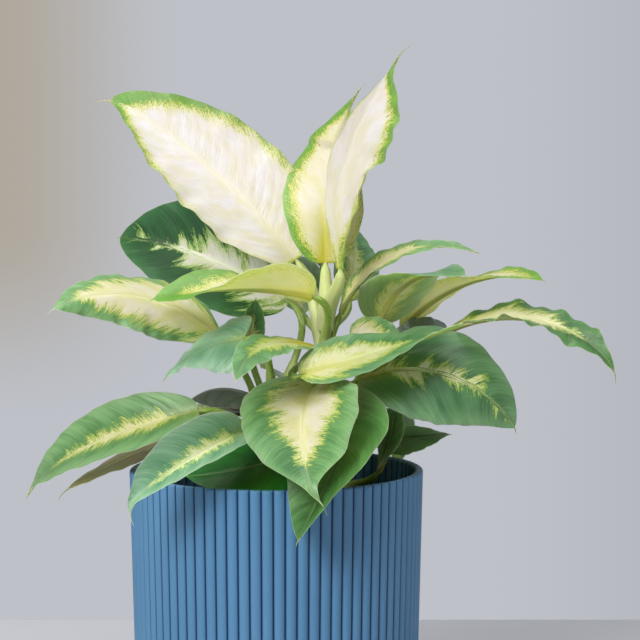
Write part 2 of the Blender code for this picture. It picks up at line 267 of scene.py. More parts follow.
def let_light_in(tree, shader, weight, radius):
    """Subsurface light: how much there is, and the shares of LIGHT_RUN that red, green and blue run."""
    wire(tree, weight, shader.inputs["Subsurface Weight"])
    shader.inputs["Subsurface Radius"].default_value = radius
    shader.inputs["Subsurface Scale"].default_value = LIGHT_RUN


# %% [markdown]
# ## The leaves: two rows of numbers each
#
# A blade is described by where it starts, which way its midrib points, how it arches and twists, how far its
# halves are folded up and cupped, and by its outline. The frame gives only each leaf's box, so these rows
# repeat the ones that its solid was made from, in millimetres and degrees. The look of each leaf has a row
# too: how wide its cream middle is, where it starts and ends along the leaf, how much green is kept along
# each margin, how long the feathers are, how the margins wave, and how the tip dries out to a thread. A few
# leaves also have margins that have rolled over and tips that hook.

# %% The shape of each leaf


class Leaf(NamedTuple):
    """One leaf: where its blade starts, which way it points and how it bends."""

    stem: str  # the cane it grows from
    node: float  # height on that cane where its stalk leaves
    base: tuple  # where the blade meets the stalk
    heading: float  # bearing of the midrib at the base, degrees from +X towards +Y
    rise: float  # climb of the midrib at the base, degrees
    length: float
    width: float
    droop: float  # how much the climb has fallen at the tip, degrees
    veer: float  # how much the bearing has turned at the tip, degrees
    roll: float  # lean of the blade about its midrib, right side down, degrees
    twist: float  # roll gained towards the tip
    fold: float  # how far each half is raised from flat at the midrib
    cup: tuple  # further upward bend of the left and right half
    belly: float  # moves the widest place towards the tip


CANES = {
    "stem_tall": ((17, 8, 0), (20, 8, 150), (26, 6, 200), (29, 5, 240), (31, 6, 262)),
    "stem_left": ((-10, -4, 0), (-8, -6, 150), (-4, -8, 175), (0, -9, 197)),
    "stem_right": ((40, 18, 0), (41, 17, 150), (46, 15, 175), (48, 14, 197)),
}

# Each row: stem, node, base, heading, rise, length, width, droop, veer, roll, twist, fold, cup, belly.
LEAF_ROWS = {
    # the crown: young, upright, almost all cream
    "upper_left": ("tall", 240, (12, 20, 292), 163, 50, 156, 76, 18, 11, -62, 0, 13, (26, 1), 0.08),
    "upright_furled": ("tall", 250, (30, 3, 291), 87, 80, 126, 56, 41, -28, -2, -50, 26, (0, -23), 0.28),
    "upright_tall": ("tall", 255, (38, -17, 288), 36, 96, 135, 69, 45, -28, 7, -7, -7, (3, -17), -0.97),
    "behind_crown": ("tall", 235, (46, 48, 265), 75, 68, 60, 34, 38, 14, 30, 20, 14, (0, 0), 0.0),
    # the left side
    "back_left": ("left", 185, (7, 38, 265), 177, 34, 126, 78, 32, -34, -74, 18, 25, (7, 16), 0.12),
    "middle_left": ("left", 180, (-35, -13, 248), 196, 43, 114, 47, 65, 25, -60, 20, -10, (-30, -20), 0.05),
    "arched_left": ("tall", 225, (22, -33, 273), 188, 13, 95, 48, 28, -10, 52, -102, 30, (-20, -5), 0.4),
    "small_curled": ("left", 192, (-18, -42, 249), 157, -7, 55, 50, 38, 51, -47, 54, -5, (-19, -7), 0.84),
    "small_upright": ("left", 192, (-15, -12, 243), 112, 104, 28, 16, -9, -1, -9, -9, 28, (0, 0), 0.08),
    "small_splashed": ("tall", 215, (25, -24, 242), 220, 16, 98, 25, 46, 42, -20, -10, 3, (0, -17), 0.17),
    "low_left": ("left", 170, (-46, -28, 204), 176, -13, 156, 43, 22, -60, -54, 0, 18, (0, 10), 0.2),
    "under_left": ("left", 162, (-38, 5, 189), 187, -10, 98, 38, 24, -5, -6, -6, -5, (0, 0), 0.0),
    "low_back_left": ("left", 166, (-9, 15, 205), 146, 23, 66, 31, 54, -15, 3, -30, -18, (-50, -40), 0.2),
    # the front
    "rim_left": ("left", 165, (-18, -60, 196), 237, -8, 91, 43, 37, -58, -43, -10, 30, (34, 37), 0.1),
    "rim_front": ("left", 156, (10, -47, 181), 205, -17, 65, 50, -14, -19, -39, 15, -7, (0, 0), 0.1),
    "front_heart": ("right", 185, (23, -24, 219), 255, -13, 112, 75, 35, 32, 0, 15, 21, (7, 4), -0.15),
    "front_hanging": ("right", 178, (44, -26, 218), 279, -20, 125, 58, 38, -62, -2, 14, 17, (-2, 0), -0.4),
    "front_right": ("tall", 222, (15, -51, 228), 15, 15, 108, 46, 1, 6, 45, -65, 9, (0, 0), 0.07),
    # the right side
    "right_broad": ("right", 190, (49, -15, 221), -9, 25, 110, 70, 84, 22, 38, 32, 0, (-12, -12), 0.08),
    "right_slim": ("tall", 225, (38, 6, 260), -5, 68, 103, 20, 89, 16, 22, 0, 10, (0, 0), 0.02),
    "right_cupped": ("tall", 220, (63, 20, 254), -36, 67, 76, 54, 82, 0, -33, 53, 3, (0, 0), 0.13),
    "right_long": ("right", 188, (78, 52, 246), -21, 49, 113, 32, 60, -26, -38, 68, 15, (0, 0), -0.15),
    "far_right": ("right", 192, (106, 15, 250), -18, 24, 119, 35, 69, -20, 9, 19, 15, (-12, 0), 0.07),
    "low_right": ("right", 160, (67, 19, 179), -4, 9, 40, 32, 4, 0, 39, -30, -5, (0, 0), 0.0),
    "inner_right": ("right", 144, (61, -5, 164), -13, 63, 43, 29, -22, 29, 7, 34, 2, (0, 0), -0.1),
    "inner_pale": ("right", 180, (46, -8, 244), 2, 16, 32, 30, 30, 10, 52, 0, 5, (0, 0), 0.1),
    # the back
    "back_right": ("right", 194, (66, 24, 236), 18, 23, 66, 25, 30, 56, 10, 45, 10, (8, -10), -0.2),
    "inner_back": ("left", 192, (9, 45, 211), 111, 20, 69, 34, 31, -6, 22, 14, 2, (0, 0), 0.0),
    "back_high": ("tall", 232, (16, 50, 258), 112, 42, 125, 56, 55, 10, 0, 0, 8, (-5, -5), 0.0),
    "back_upright": ("tall", 245, (28, 62, 287), 103, 60, 102, 44, 46, -5, 0, 0, 12, (0, 0), 0.0),
    "back_broad": ("right", 188, (58, 50, 222), 38, 8, 112, 56, 40, 0, 12, 0, 8, (-5, -5), 0.0),
    "back_centre": ("left", 178, (18, 42, 200), 97, 5, 118, 54, 70, 0, 0, 0, 8, (-8, -8), 0.0),
    "back_low_left": ("left", 160, (-22, 32, 196), 138, 5, 118, 50, 55, 8, -10, 0, 8, (-5, -5), 0.0),
    "back_low_right": ("right", 168, (50, 45, 195), 70, 10, 105, 44, 75, 0, 10, 0, 8, (-5, -5), 0.0),
}
LEAVES = {f"leaf_{name}": Leaf(f"stem_{stem}", *rest) for name, (stem, *rest) in LEAF_ROWS.items()}
print(len(LEAVES), "leaves on", len(CANES), "canes")

# %% The look of each leaf


class Look(NamedTuple):
    """One leaf's pattern and trim. Shares are of the half-width or the length; the rest is in millimetres."""

    green: str = "fresh"
    cream: float = 0.35  # half-width of the cream middle at its widest, as a share
    starts: float = 0.0  # where along the leaf it begins
    ends: float = 0.85  # where it ends
    margins: tuple = (0.5, 3.0, 0.5, 3.0)  # green kept at the left edge's base and tip, then at the right's
    feather: float = 7.0  # length of the feathers along the veins
    ruffles: tuple = (0.8, 0.8)  # how far the left and the right margin wave
    thread: float = 4.0  # the dried thread at the tip
    flush: float = 0.2  # how much yellow runs up from the base along the midrib
    lobe: float = 2.0  # how far the base reaches back beside the stalk
    hook: tuple = (0.0, 0.0)  # how much further the very tip droops and veers, degrees
    rolls: tuple = ()  # margins rolled over the face: side, start, end, where across, degrees
    pleat: tuple = (0.0, 0.0, 0.0)  # a step across the blade: where, slant, height
    drawn: float = 0.0  # how much the last fifth narrows
    dried: float = 0.0  # how far the very tip has dried to straw


LOOKS = {
    "leaf_upper_left": Look(
        "young", 1.3, 0, 1.3, (-4, 4, -0.5, 7), 6.5, (1.4, 0.7), 9, 0.1, 2, (25, 10), dried=1
    ),
    "leaf_upright_furled": Look(
        "golden", 1.3, 0, 1.3, (4, 6, -1, 4), 6, (0.6, 0.8), 10, 1.1, pleat=(0.6, -0.35, 3.0), dried=1
    ),
    "leaf_upright_tall": Look(
        "young", 1.3, 0, 1.3, (-9, 6, 1.5, 7.5), 5, (0.7, 2.4), 11, 0.3, 2, (-6, -25),
        (("right", -0.04, 0.52, 0.76, 175),), drawn=0.2,
    ),
    "leaf_behind_crown": Look("lime", 0.6, 0, 0.8, (0.5, 4, 0.5, 4)),
    "leaf_back_left": Look("deep", 0.62, 0, 0.72, (0.5, 4, 0.5, 4), 11, (0.8, 1.4), 3),
    "leaf_middle_left": Look("fresh", 0.9, 0, 1.2, (0.5, 7, 0.5, 6), 6, (2.2, 1.2), 7, 0.4),
    "leaf_arched_left": Look("golden", 1.0, 0.03, 0.85, (0.5, 5, 0.5, 6), 8, thread=3, flush=0.6),
    "leaf_small_curled": Look("pale_sheen", -0.3, 0.2, 0.6, feather=5, ruffles=(2, 1), thread=3),
    "leaf_small_upright": Look("olive", 0.4, 0, 0.7, feather=4, ruffles=(0.3, 0.3), thread=2, flush=0.8),
    "leaf_small_splashed": Look("lime", 0.8, 0.05, 0.75, feather=5, ruffles=(1, 1), thread=3, flush=1.2),
    "leaf_low_left": Look("fresh", 0.36, 0.12, 0.76, feather=6, ruffles=(0.6, 0.6)),
    "leaf_under_left": Look("straw", 0.3, 0, 0.9, feather=5, ruffles=(0.5, 0.5), thread=9, flush=0.1),
    "leaf_low_back_left": Look("shaded_grey", -0.3, feather=5, ruffles=(0.6, 0.6), thread=2, flush=0),
    "leaf_rim_left": Look(
        "pale_sheen", 0.3, 0.12, 0.82, feather=5, ruffles=(0.5, 0.5), thread=8, hook=(45, 0), drawn=0.4
    ),
    "leaf_rim_front": Look("shaded_green", -0.5, feather=4, ruffles=(0.3, 0.3), thread=2, flush=0),
    "leaf_front_heart": Look(
        "fresh", 0.74, 0, 0.8, (0.5, 4, 0.5, 4), 7.5, (0.6, 0.6), 9, 0.5, 13, (0, 60), drawn=0.72
    ),
    "leaf_front_hanging": Look("olive", 0.1, 0, 0.35, feather=6, ruffles=(0.5, 0.5), flush=0.4, lobe=4),
    "leaf_front_right": Look("lime", 0.78, -0.1, 0.68, feather=6, ruffles=(0.6, 0.6), thread=5, flush=0.5),
    "leaf_right_broad": Look(
        "blue", 0.24, 0.05, 0.78, (0.5, 4, 0.5, 4), 11, (0.4, 0.4), 4, 0.5, 3
    ),
    "leaf_right_slim": Look("fresh", 1.0, 0, 0.75, (0.5, 2, -1, 2), 4, (1, 1), 3),
    "leaf_right_cupped": Look("lime", 0.5, 0, 0.8, (2, 5, 3, 6), 6, (0.6, 0.6), 4, 0.2),
    "leaf_right_long": Look("golden", 1.0, 0, 1.0, feather=6, ruffles=(1, 1)),
    "leaf_far_right": Look(
        "olive", 0.8, 0.02, 0.8, feather=6, ruffles=(2.4, 2.4), thread=7, hook=(20, 0), drawn=0.3
    ),
    "leaf_low_right": Look("olive", -0.4, feather=4, ruffles=(0.4, 0.4), thread=2),
    "leaf_inner_right": Look("olive", -0.1, feather=4, ruffles=(0.4, 0.4), thread=2),
    "leaf_inner_pale": Look("fresh", 0.9, 0, 1.0, feather=6, thread=2),
    "leaf_back_right": Look("shaded_grey", 0.1, 0, 0.6, feather=5, ruffles=(1, 1), thread=2, flush=0),
    "leaf_inner_back": Look("fresh", 0.4, 0, 0.8, feather=6),
    "leaf_back_high": Look("fresh", 0.6, 0, 0.9, (0.5, 4, 0.5, 4)),
    "leaf_back_upright": Look("young", 1.0, 0, 1.0, (0.5, 5, 0.5, 5), 6),
    "leaf_back_broad": Look("deep", 0.4, 0.05, 0.85, (0.5, 4, 0.5, 4), 8),
    "leaf_back_centre": Look("fresh", 0.5, 0, 0.85, (0.5, 4, 0.5, 4)),
    "leaf_back_low_left": Look("blue", 0.35, 0.05, 0.85, (0.5, 4, 0.5, 4)),
    "leaf_back_low_right": Look("deep", 0.35, 0.05, 0.85, (0.5, 4, 0.5, 4)),
}
print("greens:", sorted({look.green for look in LOOKS.values()}))

# %% [markdown]
# ## The midline and the outline of a blade
#
# The midrib is a curve whose direction changes at an even rate: its climb falls as the leaf droops under its
# own weight, and its bearing veers. Adding up small steps along that direction gives its points. The
# outline is a rule for the half-width along it: quick to widen at the base, then drawn out to a point.

# %% Midline and outline
BASE_SHARE = 0.07  # half-width at the stalk, as a share of the widest
MIDLINE_STEPS = 240
THREAD_DROOP = 30.0  # how much further the thread at the tip hangs, degrees
HOOK = (0.86, 1.02)  # where a hooked tip begins to turn, and where it has turned


def unit(value):
    """The value kept between 0 and 1."""
    return np.clip(value, 0, 1)


def swell(value, low, high):
    """A smooth step from 0 to 1: 3t^2 - 2t^3, with t the share of the way from low to high."""
    t = unit((value - low) / (high - low))
    return t * t * (3 - 2 * t)


def bell(value, width):
    """A bell curve, e^-(value / width)^2: 1 at zero, and almost gone at twice the width."""
    return np.exp(-((value / width) ** 2))


def outline_share(u, belly):
    """Half-width share: sin(pi * v^0.8)^0.72 with v = u^(2^-belly), and a small foot at the stalk."""
    v = unit(u) ** (2.0**-belly)
    width = unit(np.sin(np.pi * v**0.8)) ** 0.72
    return np.maximum(width, BASE_SHARE * (1 - v) ** 6)


def midline(leaf, u, hook=(0.0, 0.0)):
    """Points, and forward, out and right directions, at shares u of the length; past 1 it is the thread."""
    fine = np.linspace(0, max(u[-1], 1.0), MIDLINE_STEPS + 1)

    def directions(share):
        """Forward and up: the climb falls and the bearing veers evenly, and a hook adds a turn of its own."""
        hooked = swell(share, *HOOK)
        bearing = np.radians(leaf.heading + leaf.veer * share + hook[1] * hooked)
        beyond = np.maximum(share - 1, 0) / max(fine[-1] - 1, 1e-6)
        climb = np.radians(leaf.rise - leaf.droop * share - hook[0] * hooked - THREAD_DROOP * beyond)
        forward = [np.cos(climb) * np.cos(bearing), np.cos(climb) * np.sin(bearing), np.sin(climb)]
        up = [-np.sin(climb) * np.cos(bearing), -np.sin(climb) * np.sin(bearing), np.cos(climb)]
        return np.stack(forward, -1), np.stack(up, -1)

    steps = directions(fine)[0]
    steps = (steps[1:] + steps[:-1]) / 2 * np.diff(fine)[:, None] * leaf.length
    path = np.vstack([np.zeros(3), np.cumsum(steps, 0)]) + leaf.base
    points = np.stack([np.interp(u, fine, path[:, axis]) for axis in range(3)], -1)
    forward, up = directions(u)
    side = np.cross(forward, up)
    lean = np.radians(leaf.roll + leaf.twist * np.minimum(u, 1))[:, None]
    return points, forward, up * np.cos(lean) + side * np.sin(lean), side * np.cos(lean) - up * np.sin(lean)


# %% [markdown]
# ## The blade's surface
#
# Across the leaf each half is an arc: it starts at the fold angle and keeps bending by the cup angle, and a
# margin that has rolled over the face bends much further close to the edge. On that lie the small forms that
# make a leaf read as a leaf: a groove over the midrib and a ridge under it, a quilt between the side veins,
# and a ruffled margin. The side veins leave the midrib at a slant and sweep towards the tip, so the distance
# along the midrib minus a sweep that grows outwards names the vein that a point lies on. That number, with
# the distance from the midrib, is also the map that the colours use, and it is what makes the cream feather
# outwards along the veins.

# %% Blade constants and grids
HALF_STEPS = 26  # points across each half
STATION_LENGTH = 1.5  # spacing of the stations along a leaf
LEAST_STATIONS = 36
THREAD_STATIONS = 10
THREAD_RADIUS = 0.42
BLADE_THICK = 0.5
RIDGE = 2.4  # how far the midrib stands out below, at the stalk
RIDGE_WIDTH = 2.2
GROOVE = 0.6
YOUNG_GROOVE = 0.15
GROOVE_WIDTH = 1.3
VEIN_SPACING = 7.5
VEIN_DEPTH = 0.45
QUILT_FROM = 2.0  # the quilt between the veins starts this far from the midrib
QUILT_RUN = 8.0  # and is full after this much more
FOLD_ROUND = 2.5  # the fold is rounded over this distance from the midrib
PLEAT_RUN = 2.0  # a pleat's step is taken over this distance
WAVES = np.array([1.6, 4.3, 9.1])  # waves of the margin along a leaf
WAVE_SIZES = np.array([0.9, 0.7, 0.45])
DRAWN = (0.78, 0.93)  # where a drawn-out tip narrows
RIB_CREAM = 3.0  # how much deeper the cream is over the midrib
RIB_CREAM_WIDTH = 1.2
CREAM_GAP = 1.0  # keeps a closing cream middle from ending in a thin line on the midrib
OUTLINE_WAVE = 0.02  # how far the outline itself wanders, as a share of the half-width
END_PULL = 0.08  # how much closer the stations stand at both ends
ROLL_RUN = 0.12  # a rolled margin starts and stops over this share of the length
LOBE_LENGTH = 12.0  # the lobes beside the stalk reach this far up the blade
LOBE_GAP = 6.0  # and leave this much free of the midrib
THREAD_FROM = 0.96  # where the blade begins to close into its thread

outward = 0.5 - 0.5 * np.cos(np.pi * np.linspace(0, 1, HALF_STEPS + 1))
top_places = np.concatenate([-outward[:0:-1], outward])
ring_places = np.concatenate([top_places, top_places[-2:0:-1]])
ring_under = np.concatenate([np.zeros(len(top_places)), np.ones(len(top_places) - 2)])
on_right = ring_places > 0
print(f"{len(ring_places)} points in a ring, {HALF_STEPS} across each half of a blade")


# %% Rules for one blade


def stations(leaf, look):
    """Shares along the leaf, closer at both ends, then the thread's own stations past 1."""
    count = max(LEAST_STATIONS, int(leaf.length / STATION_LENGTH))
    even = np.linspace(0, 1, count)
    along = even - END_PULL * np.sin(2 * np.pi * even)
    thread = 1 + np.linspace(0, 1, THREAD_STATIONS + 1)[1:] * look.thread / leaf.length
    return np.concatenate([along, thread])


def margin_waves(u, random):
    """Three waves of seeded phase along each margin, gone at both ends: one column each, left and right."""
    phases = random.uniform(0, 1, (2, 3))
    waves = np.sin(2 * np.pi * (u[:, None, None] * WAVES + phases)) @ WAVE_SIZES
    return waves * np.sqrt(unit(np.sin(np.pi * unit(u))))[:, None]


def rolled(look, u, side):
    """Extra bend, in degrees, of a half whose margin has rolled over: it grows evenly out to the edge."""
    bend = np.zeros((len(u), len(outward)))
    for which, start, end, share, degrees in look.rolls:
        if which == side:
            along = swell(u, start, start + ROLL_RUN) * (1 - swell(u, end - ROLL_RUN, end))
            bend += degrees * along[:, None] * unit((outward - share) / (1 - share))
    return bend


def across(leaf, look, u, half_widths):
    """Sideways reach, height and slope of both halves at every ring place, by adding up small arcs."""
    whole = []
    for number, side in enumerate(("left", "right")):
        distance = half_widths[:, number, None] * outward
        eased = 1 - bell(distance, FOLD_ROUND)
        bend = np.radians(leaf.fold * eased + leaf.cup[number] * outward + rolled(look, u, side))
        middle = (bend[:, 1:] + bend[:, :-1]) / 2
        step = np.diff(distance, axis=1)
        start = np.zeros((len(u), 1))
        sign = 2 * number - 1
        reach = sign * np.hstack([start, np.cumsum(np.cos(middle) * step, 1)])
        height = np.hstack([start, np.cumsum(np.sin(middle) * step, 1)])
        whole.append(np.stack([reach, height, sign * bend]))
    left, right = whole
    top = np.concatenate([left[..., :0:-1], right], axis=2)
    return np.concatenate([top, top[..., -2:0:-1]], axis=2)


def relief(leaf, look, u, distance, share, vein, waves):
    """Height over the arc: groove, quilt between veins, ruffles that grow towards the margin, and a pleat."""
    fade = unit(1 - u)[:, None]
    depth = YOUNG_GROOVE if look.green in ("young", "golden") else GROOVE
    groove = -depth * bell(distance, GROOVE_WIDTH) * fade**0.5
    quilt = np.abs(np.sin(np.pi * vein / VEIN_SPACING)) ** 0.7 - 0.6
    quilt = VEIN_DEPTH * quilt * unit((distance - QUILT_FROM) / QUILT_RUN)
    quilt = quilt * (1 - share**4) * fade**0.3
    ruffle = np.where(on_right, waves[:, 1:] * look.ruffles[1], waves[:, :1] * look.ruffles[0]) * share**2.5
    where, slant, height = look.pleat
    line = (u[:, None] - where) * leaf.length - slant * distance * np.sign(ring_places)
    pleat = height * swell(line, 0, PLEAT_RUN) * (1 - swell(line, PLEAT_RUN, leaf.length / 4))
    return groove + quilt + ruffle + pleat


# %% One blade


def blade(leaf, look, number):
    """Rings round one blade, over the top and back underneath, with the maps that its colours use."""
    random = np.random.default_rng(number)
    u = stations(leaf, look)
    points, forward, out, right = midline(leaf, u, look.hook)
    thread = unit(1 - (u - 1) * leaf.length / look.thread * 0.75) * THREAD_RADIUS
    half_width = leaf.width / 2 * outline_share(u, leaf.belly) * (1 - look.drawn * swell(u, *DRAWN))
    half_width = np.maximum(half_width, thread)
    half_widths = half_width[:, None] * (1 + OUTLINE_WAVE * margin_waves(u, random))
    share = np.abs(ring_places)
    distance = np.where(on_right, half_widths[:, 1:], half_widths[:, :1]) * share
    reach, height, slope = across(leaf, look, u, half_widths)
    along = u[:, None] * leaf.length
    vein = along - half_width[:, None] * (0.5 * share + 0.5 * share**2.5)
    lift = relief(leaf, look, u, distance, share, vein, margin_waves(u, random))
    face = out[:, None] * np.cos(slope)[..., None] - right[:, None] * np.sin(slope)[..., None]
    back = look.lobe * bell(along, LOBE_LENGTH) * (1 - bell(distance, LOBE_GAP))
    place = points[:, None] + right[:, None] * reach[..., None] + out[:, None] * height[..., None]
    place = place + face * lift[..., None] - forward[:, None] * back[..., None]
    closed = unit((u - THREAD_FROM) / (1 - THREAD_FROM))[:, None]
    thick = BLADE_THICK * (1 - share**6) ** 0.5 * (1 - closed)
    thick = thick + closed * 2 * thread[:, None] * np.cos(share * np.pi / 2)
    fade = unit(1 - u)[:, None] ** 0.8
    ridge = (RIDGE * fade + 0.2) * bell(distance, RIDGE_WIDTH * (0.4 + 0.6 * fade))
    under = thick + ridge * (1 - closed)
    rings = place - face * (under * ring_under)[..., None]
    return rings, blade_maps(leaf, look, u, share, distance, vein, half_width, number)


CREAM_RUN = 0.08  # the cream begins and ends over this share of the length
CREAM_PAST = 4.0  # how far below nothing the cream is pushed past its end
LEAF_SHIFT = 17.3  # gives each leaf a stretch of noise of its own
HALF_SHIFT = 4.0  # and each half of a leaf, turning over within HALF_RUN of the midrib
HALF_RUN = 1.5
FLUSH_WIDTH = 5.0
FLUSH_ENDS = (0.08, 0.42)
DRY_FROM = 0.975


def blade_maps(leaf, look, u, share, distance, vein, half_width, number):
    """Three maps.

    vein: which vein, how far out along it, which leaf. zone: how deep in the cream, distance from the edge,
    underside. tone: yellow at the base, dried tip, share along the leaf.
    """
    u, half_width = u[:, None], half_width[:, None]
    begins = unit((u - look.starts) / CREAM_RUN + 0.5)
    closes = unit(1 - unit(u / look.ends) ** 2.4) ** 0.8
    cream = (look.cream * begins * closes - share) * half_width - CREAM_GAP
    cream = cream + RIB_CREAM * begins * closes * bell(distance, RIB_CREAM_WIDTH)
    cream = cream - CREAM_PAST * unit((u - look.ends) / CREAM_RUN + 0.5)
    edge = (1 - share) * half_width
    base, tip = (np.where(on_right, look.margins[2 + k], look.margins[k]) for k in (0, 1))
    kept = (base + (tip - base) * unit(u) ** 1.5) * (1 + 1.4 * unit(u) ** 6)
    depth = np.minimum(cream, edge - kept) / look.feather
    signed = distance * np.sign(ring_places)
    own = number * LEAF_SHIFT + HALF_SHIFT * np.clip(signed / HALF_RUN, -1, 1)
    flush = look.flush * bell(distance, FLUSH_WIDTH) * (1 - swell(u, *FLUSH_ENDS))
    dry = look.dried * swell(u, DRY_FROM, 1.0 + 0.3 * look.thread / leaf.length)
    whole = np.ones_like(distance)
    return {
        "vein": np.stack([vein, signed, own], -1),
        "zone": np.stack([depth, edge, whole * ring_under], -1),
        "tone": np.stack([flush, whole * dry, whole * u], -1),
    }


# %% [markdown]
# ## The leaf's skin: feathered cream on green
#
# The cream middle of such a leaf has lost its green along the veins, so its edge is a row of feathers that
# run outwards, not a clean line. The zone map says how deep in the cream a point lies, counted in feather
# lengths. Noise stretched along the veins is added to that depth: wide for the feathers, narrow for the
# barbs between them and fine for the freckles. Smooth steps then read the sum and lay one colour over the
# next, from green through a yellow-green halo to cream. The cream isn't one colour either: it has soft
# blotches of ivory and pale rose, and faint green threads that follow the veins.
#
# A blade is thin and wet inside, so some light enters and comes out elsewhere. Subsurface scattering does
# that here: it softens the shading and lets the upright leaves glow when light falls on their backs.

# %% Leaf finishes


class Tint(NamedTuple):
    """The colours of one kind of leaf, and its feathers, barbs and freckles: each (x, y, strength)."""

    dark: tuple
    light: tuple
    halo: tuple
    pale: tuple
    cream: tuple
    ivory: tuple
    # under: the underside's colour, paler than the face; on the pale kinds it is raised further as painted
    # light shining through the blade
    under: tuple
    under_share: float
    noise: tuple
    rib: float  # how far the midrib shows on the face
    # line: on young leaves a green margin; where it is pale, a painted highlight along the lit edge
    line: tuple  # the hairline along the margin


SOFT = ((0.12, 0.03, 2.4), (0.38, 0.08, 1.5), (1.0, 0.28, 1.7), (2.1, 0.8, 1.5))
SPIKED = ((0.07, 0.02, 3.8), (0.2, 0.035, 2.4), (0.65, 0.14, 1.3), (1.7, 0.6, 1.1))
SPLASHED = ((0.09, 0.05, 1.2), (0.4, 0.25, 1.1), (1.3, 1.3, 2.4), (2.6, 2.6, 1.8))
TINTS = {
    "young": Tint(
        (84, 140, 46), (126, 176, 80), (200, 208, 70), (225, 225, 150), (231, 226, 197), (239, 236, 228),
        (228, 226, 140), 0.4, SPLASHED, 0.04, (138, 176, 84),
    ),
    "golden": Tint(
        (74, 132, 40), (116, 170, 70), (188, 198, 66), (212, 212, 126), (220, 217, 162), (228, 224, 193),
        (240, 236, 146), 0.55, SPLASHED, 0.1, (130, 170, 70),
    ),
    "fresh": Tint(
        (60, 118, 62), (138, 186, 124), (160, 188, 88), (204, 212, 126), (220, 218, 152), (232, 229, 192),
        (206, 214, 120), 0.6, SOFT, 0.2, (206, 222, 166),
    ),
    "lime": Tint(
        (42, 106, 64), (120, 168, 116), (148, 178, 76), (180, 196, 100), (197, 206, 128), (214, 219, 164),
        (226, 232, 150), 0.25, SOFT, 0.25, (196, 216, 150),
    ),
    "deep": Tint(
        (20, 66, 34), (54, 114, 64), (140, 178, 90), (206, 226, 156), (232, 241, 204), (245, 248, 236),
        (150, 170, 110), 0.4, SPIKED, 0.08, (176, 206, 150),
    ),
    "blue": Tint(
        (46, 98, 56), (120, 168, 118), (154, 184, 84), (206, 220, 140), (230, 236, 190), (242, 242, 220),
        (150, 172, 112), 0.4, SPIKED, 0.25, (104, 118, 84),
    ),
    # painted sheen: a bluish green, made paler to stand in for a bright sheen on the leaf
    "pale_sheen": Tint(
        (84, 140, 108), (162, 204, 170), (174, 202, 122), (212, 224, 146), (230, 234, 180), (240, 240, 210),
        (150, 172, 112), 0.4, SOFT, 0.3, (214, 230, 190),
    ),
    "olive": Tint(
        (30, 74, 26), (84, 138, 74), (140, 168, 70), (192, 202, 120), (216, 217, 156), (232, 231, 188),
        (132, 124, 88), 0.6, SOFT, 0.25, (160, 190, 110),
    ),
    # painted shade: a darker copy of the leaf green, for a leaf that lies in shade under the others
    "shaded_green": Tint(
        (0, 82, 12), (14, 116, 32), (110, 150, 60), (150, 180, 90), (180, 190, 110), (200, 206, 140),
        (60, 90, 50), 0.5, SOFT, 0.2, (70, 120, 60),
    ),
    # painted shade: a dark grey-green copy of the leaf colours, for leaves that lie in shade
    "shaded_grey": Tint(
        (50, 72, 58), (90, 106, 90), (104, 124, 84), (136, 146, 108), (156, 160, 126), (172, 174, 142),
        (86, 98, 88), 0.6, SOFT, 0.3, (120, 124, 96),
    ),
    "straw": Tint(
        (128, 124, 78), (160, 152, 98), (150, 150, 86), (176, 170, 110), (190, 182, 124), (200, 192, 140),
        (150, 140, 96), 0.5, SOFT, 0.3, (170, 168, 120),
    ),
}
MIDRIB_TOP = (176, 192, 124)
MIDRIB_UNDER = (168, 176, 84)
FLUSH = (196, 190, 44)
DRIED = (196, 178, 128)
THREAD_GREEN = (206, 222, 150)
ROSE = (238, 227, 209)
# Each kind of mark: its stretch over the vein map, its detail, and the noise where it starts and is full.
LEAF_MARKS = {
    "patches": ((0.1, 0.04, 1.0), 3.0, -0.18, 0.18),  # lighter and darker green
    "streaks": ((0.9, 0.03, 1.0), 2.0, -0.2, 0.2),  # green streaks along the veins
    "blotches": ((0.09, 0.09, 1.0), 3.0, -0.16, 0.16),  # ivory in the cream
    "stains": ((0.05, 0.06, 3.0), 2.0, 0.0, 0.22),  # rose in the cream
    "threads": ((0.5, 0.035, 2.0), 3.0, 0.08, 0.24),  # green threads in the cream
    "dashes": ((1.4, 0.2, 1.0), 2.0, 0.04, 0.14),  # small dashes of green inside the halo
}
MARK_SHARES = {"patches": 0.4, "streaks": 0.3, "stains": 0.45, "threads": 0.3}  # how strongly they show
EDGE_LIGHT = 0.4  # how much lighter the green is at the margin
EDGE_LIGHT_RUN = (1.0, 14.0)  # and over which distance from it, in millimetres


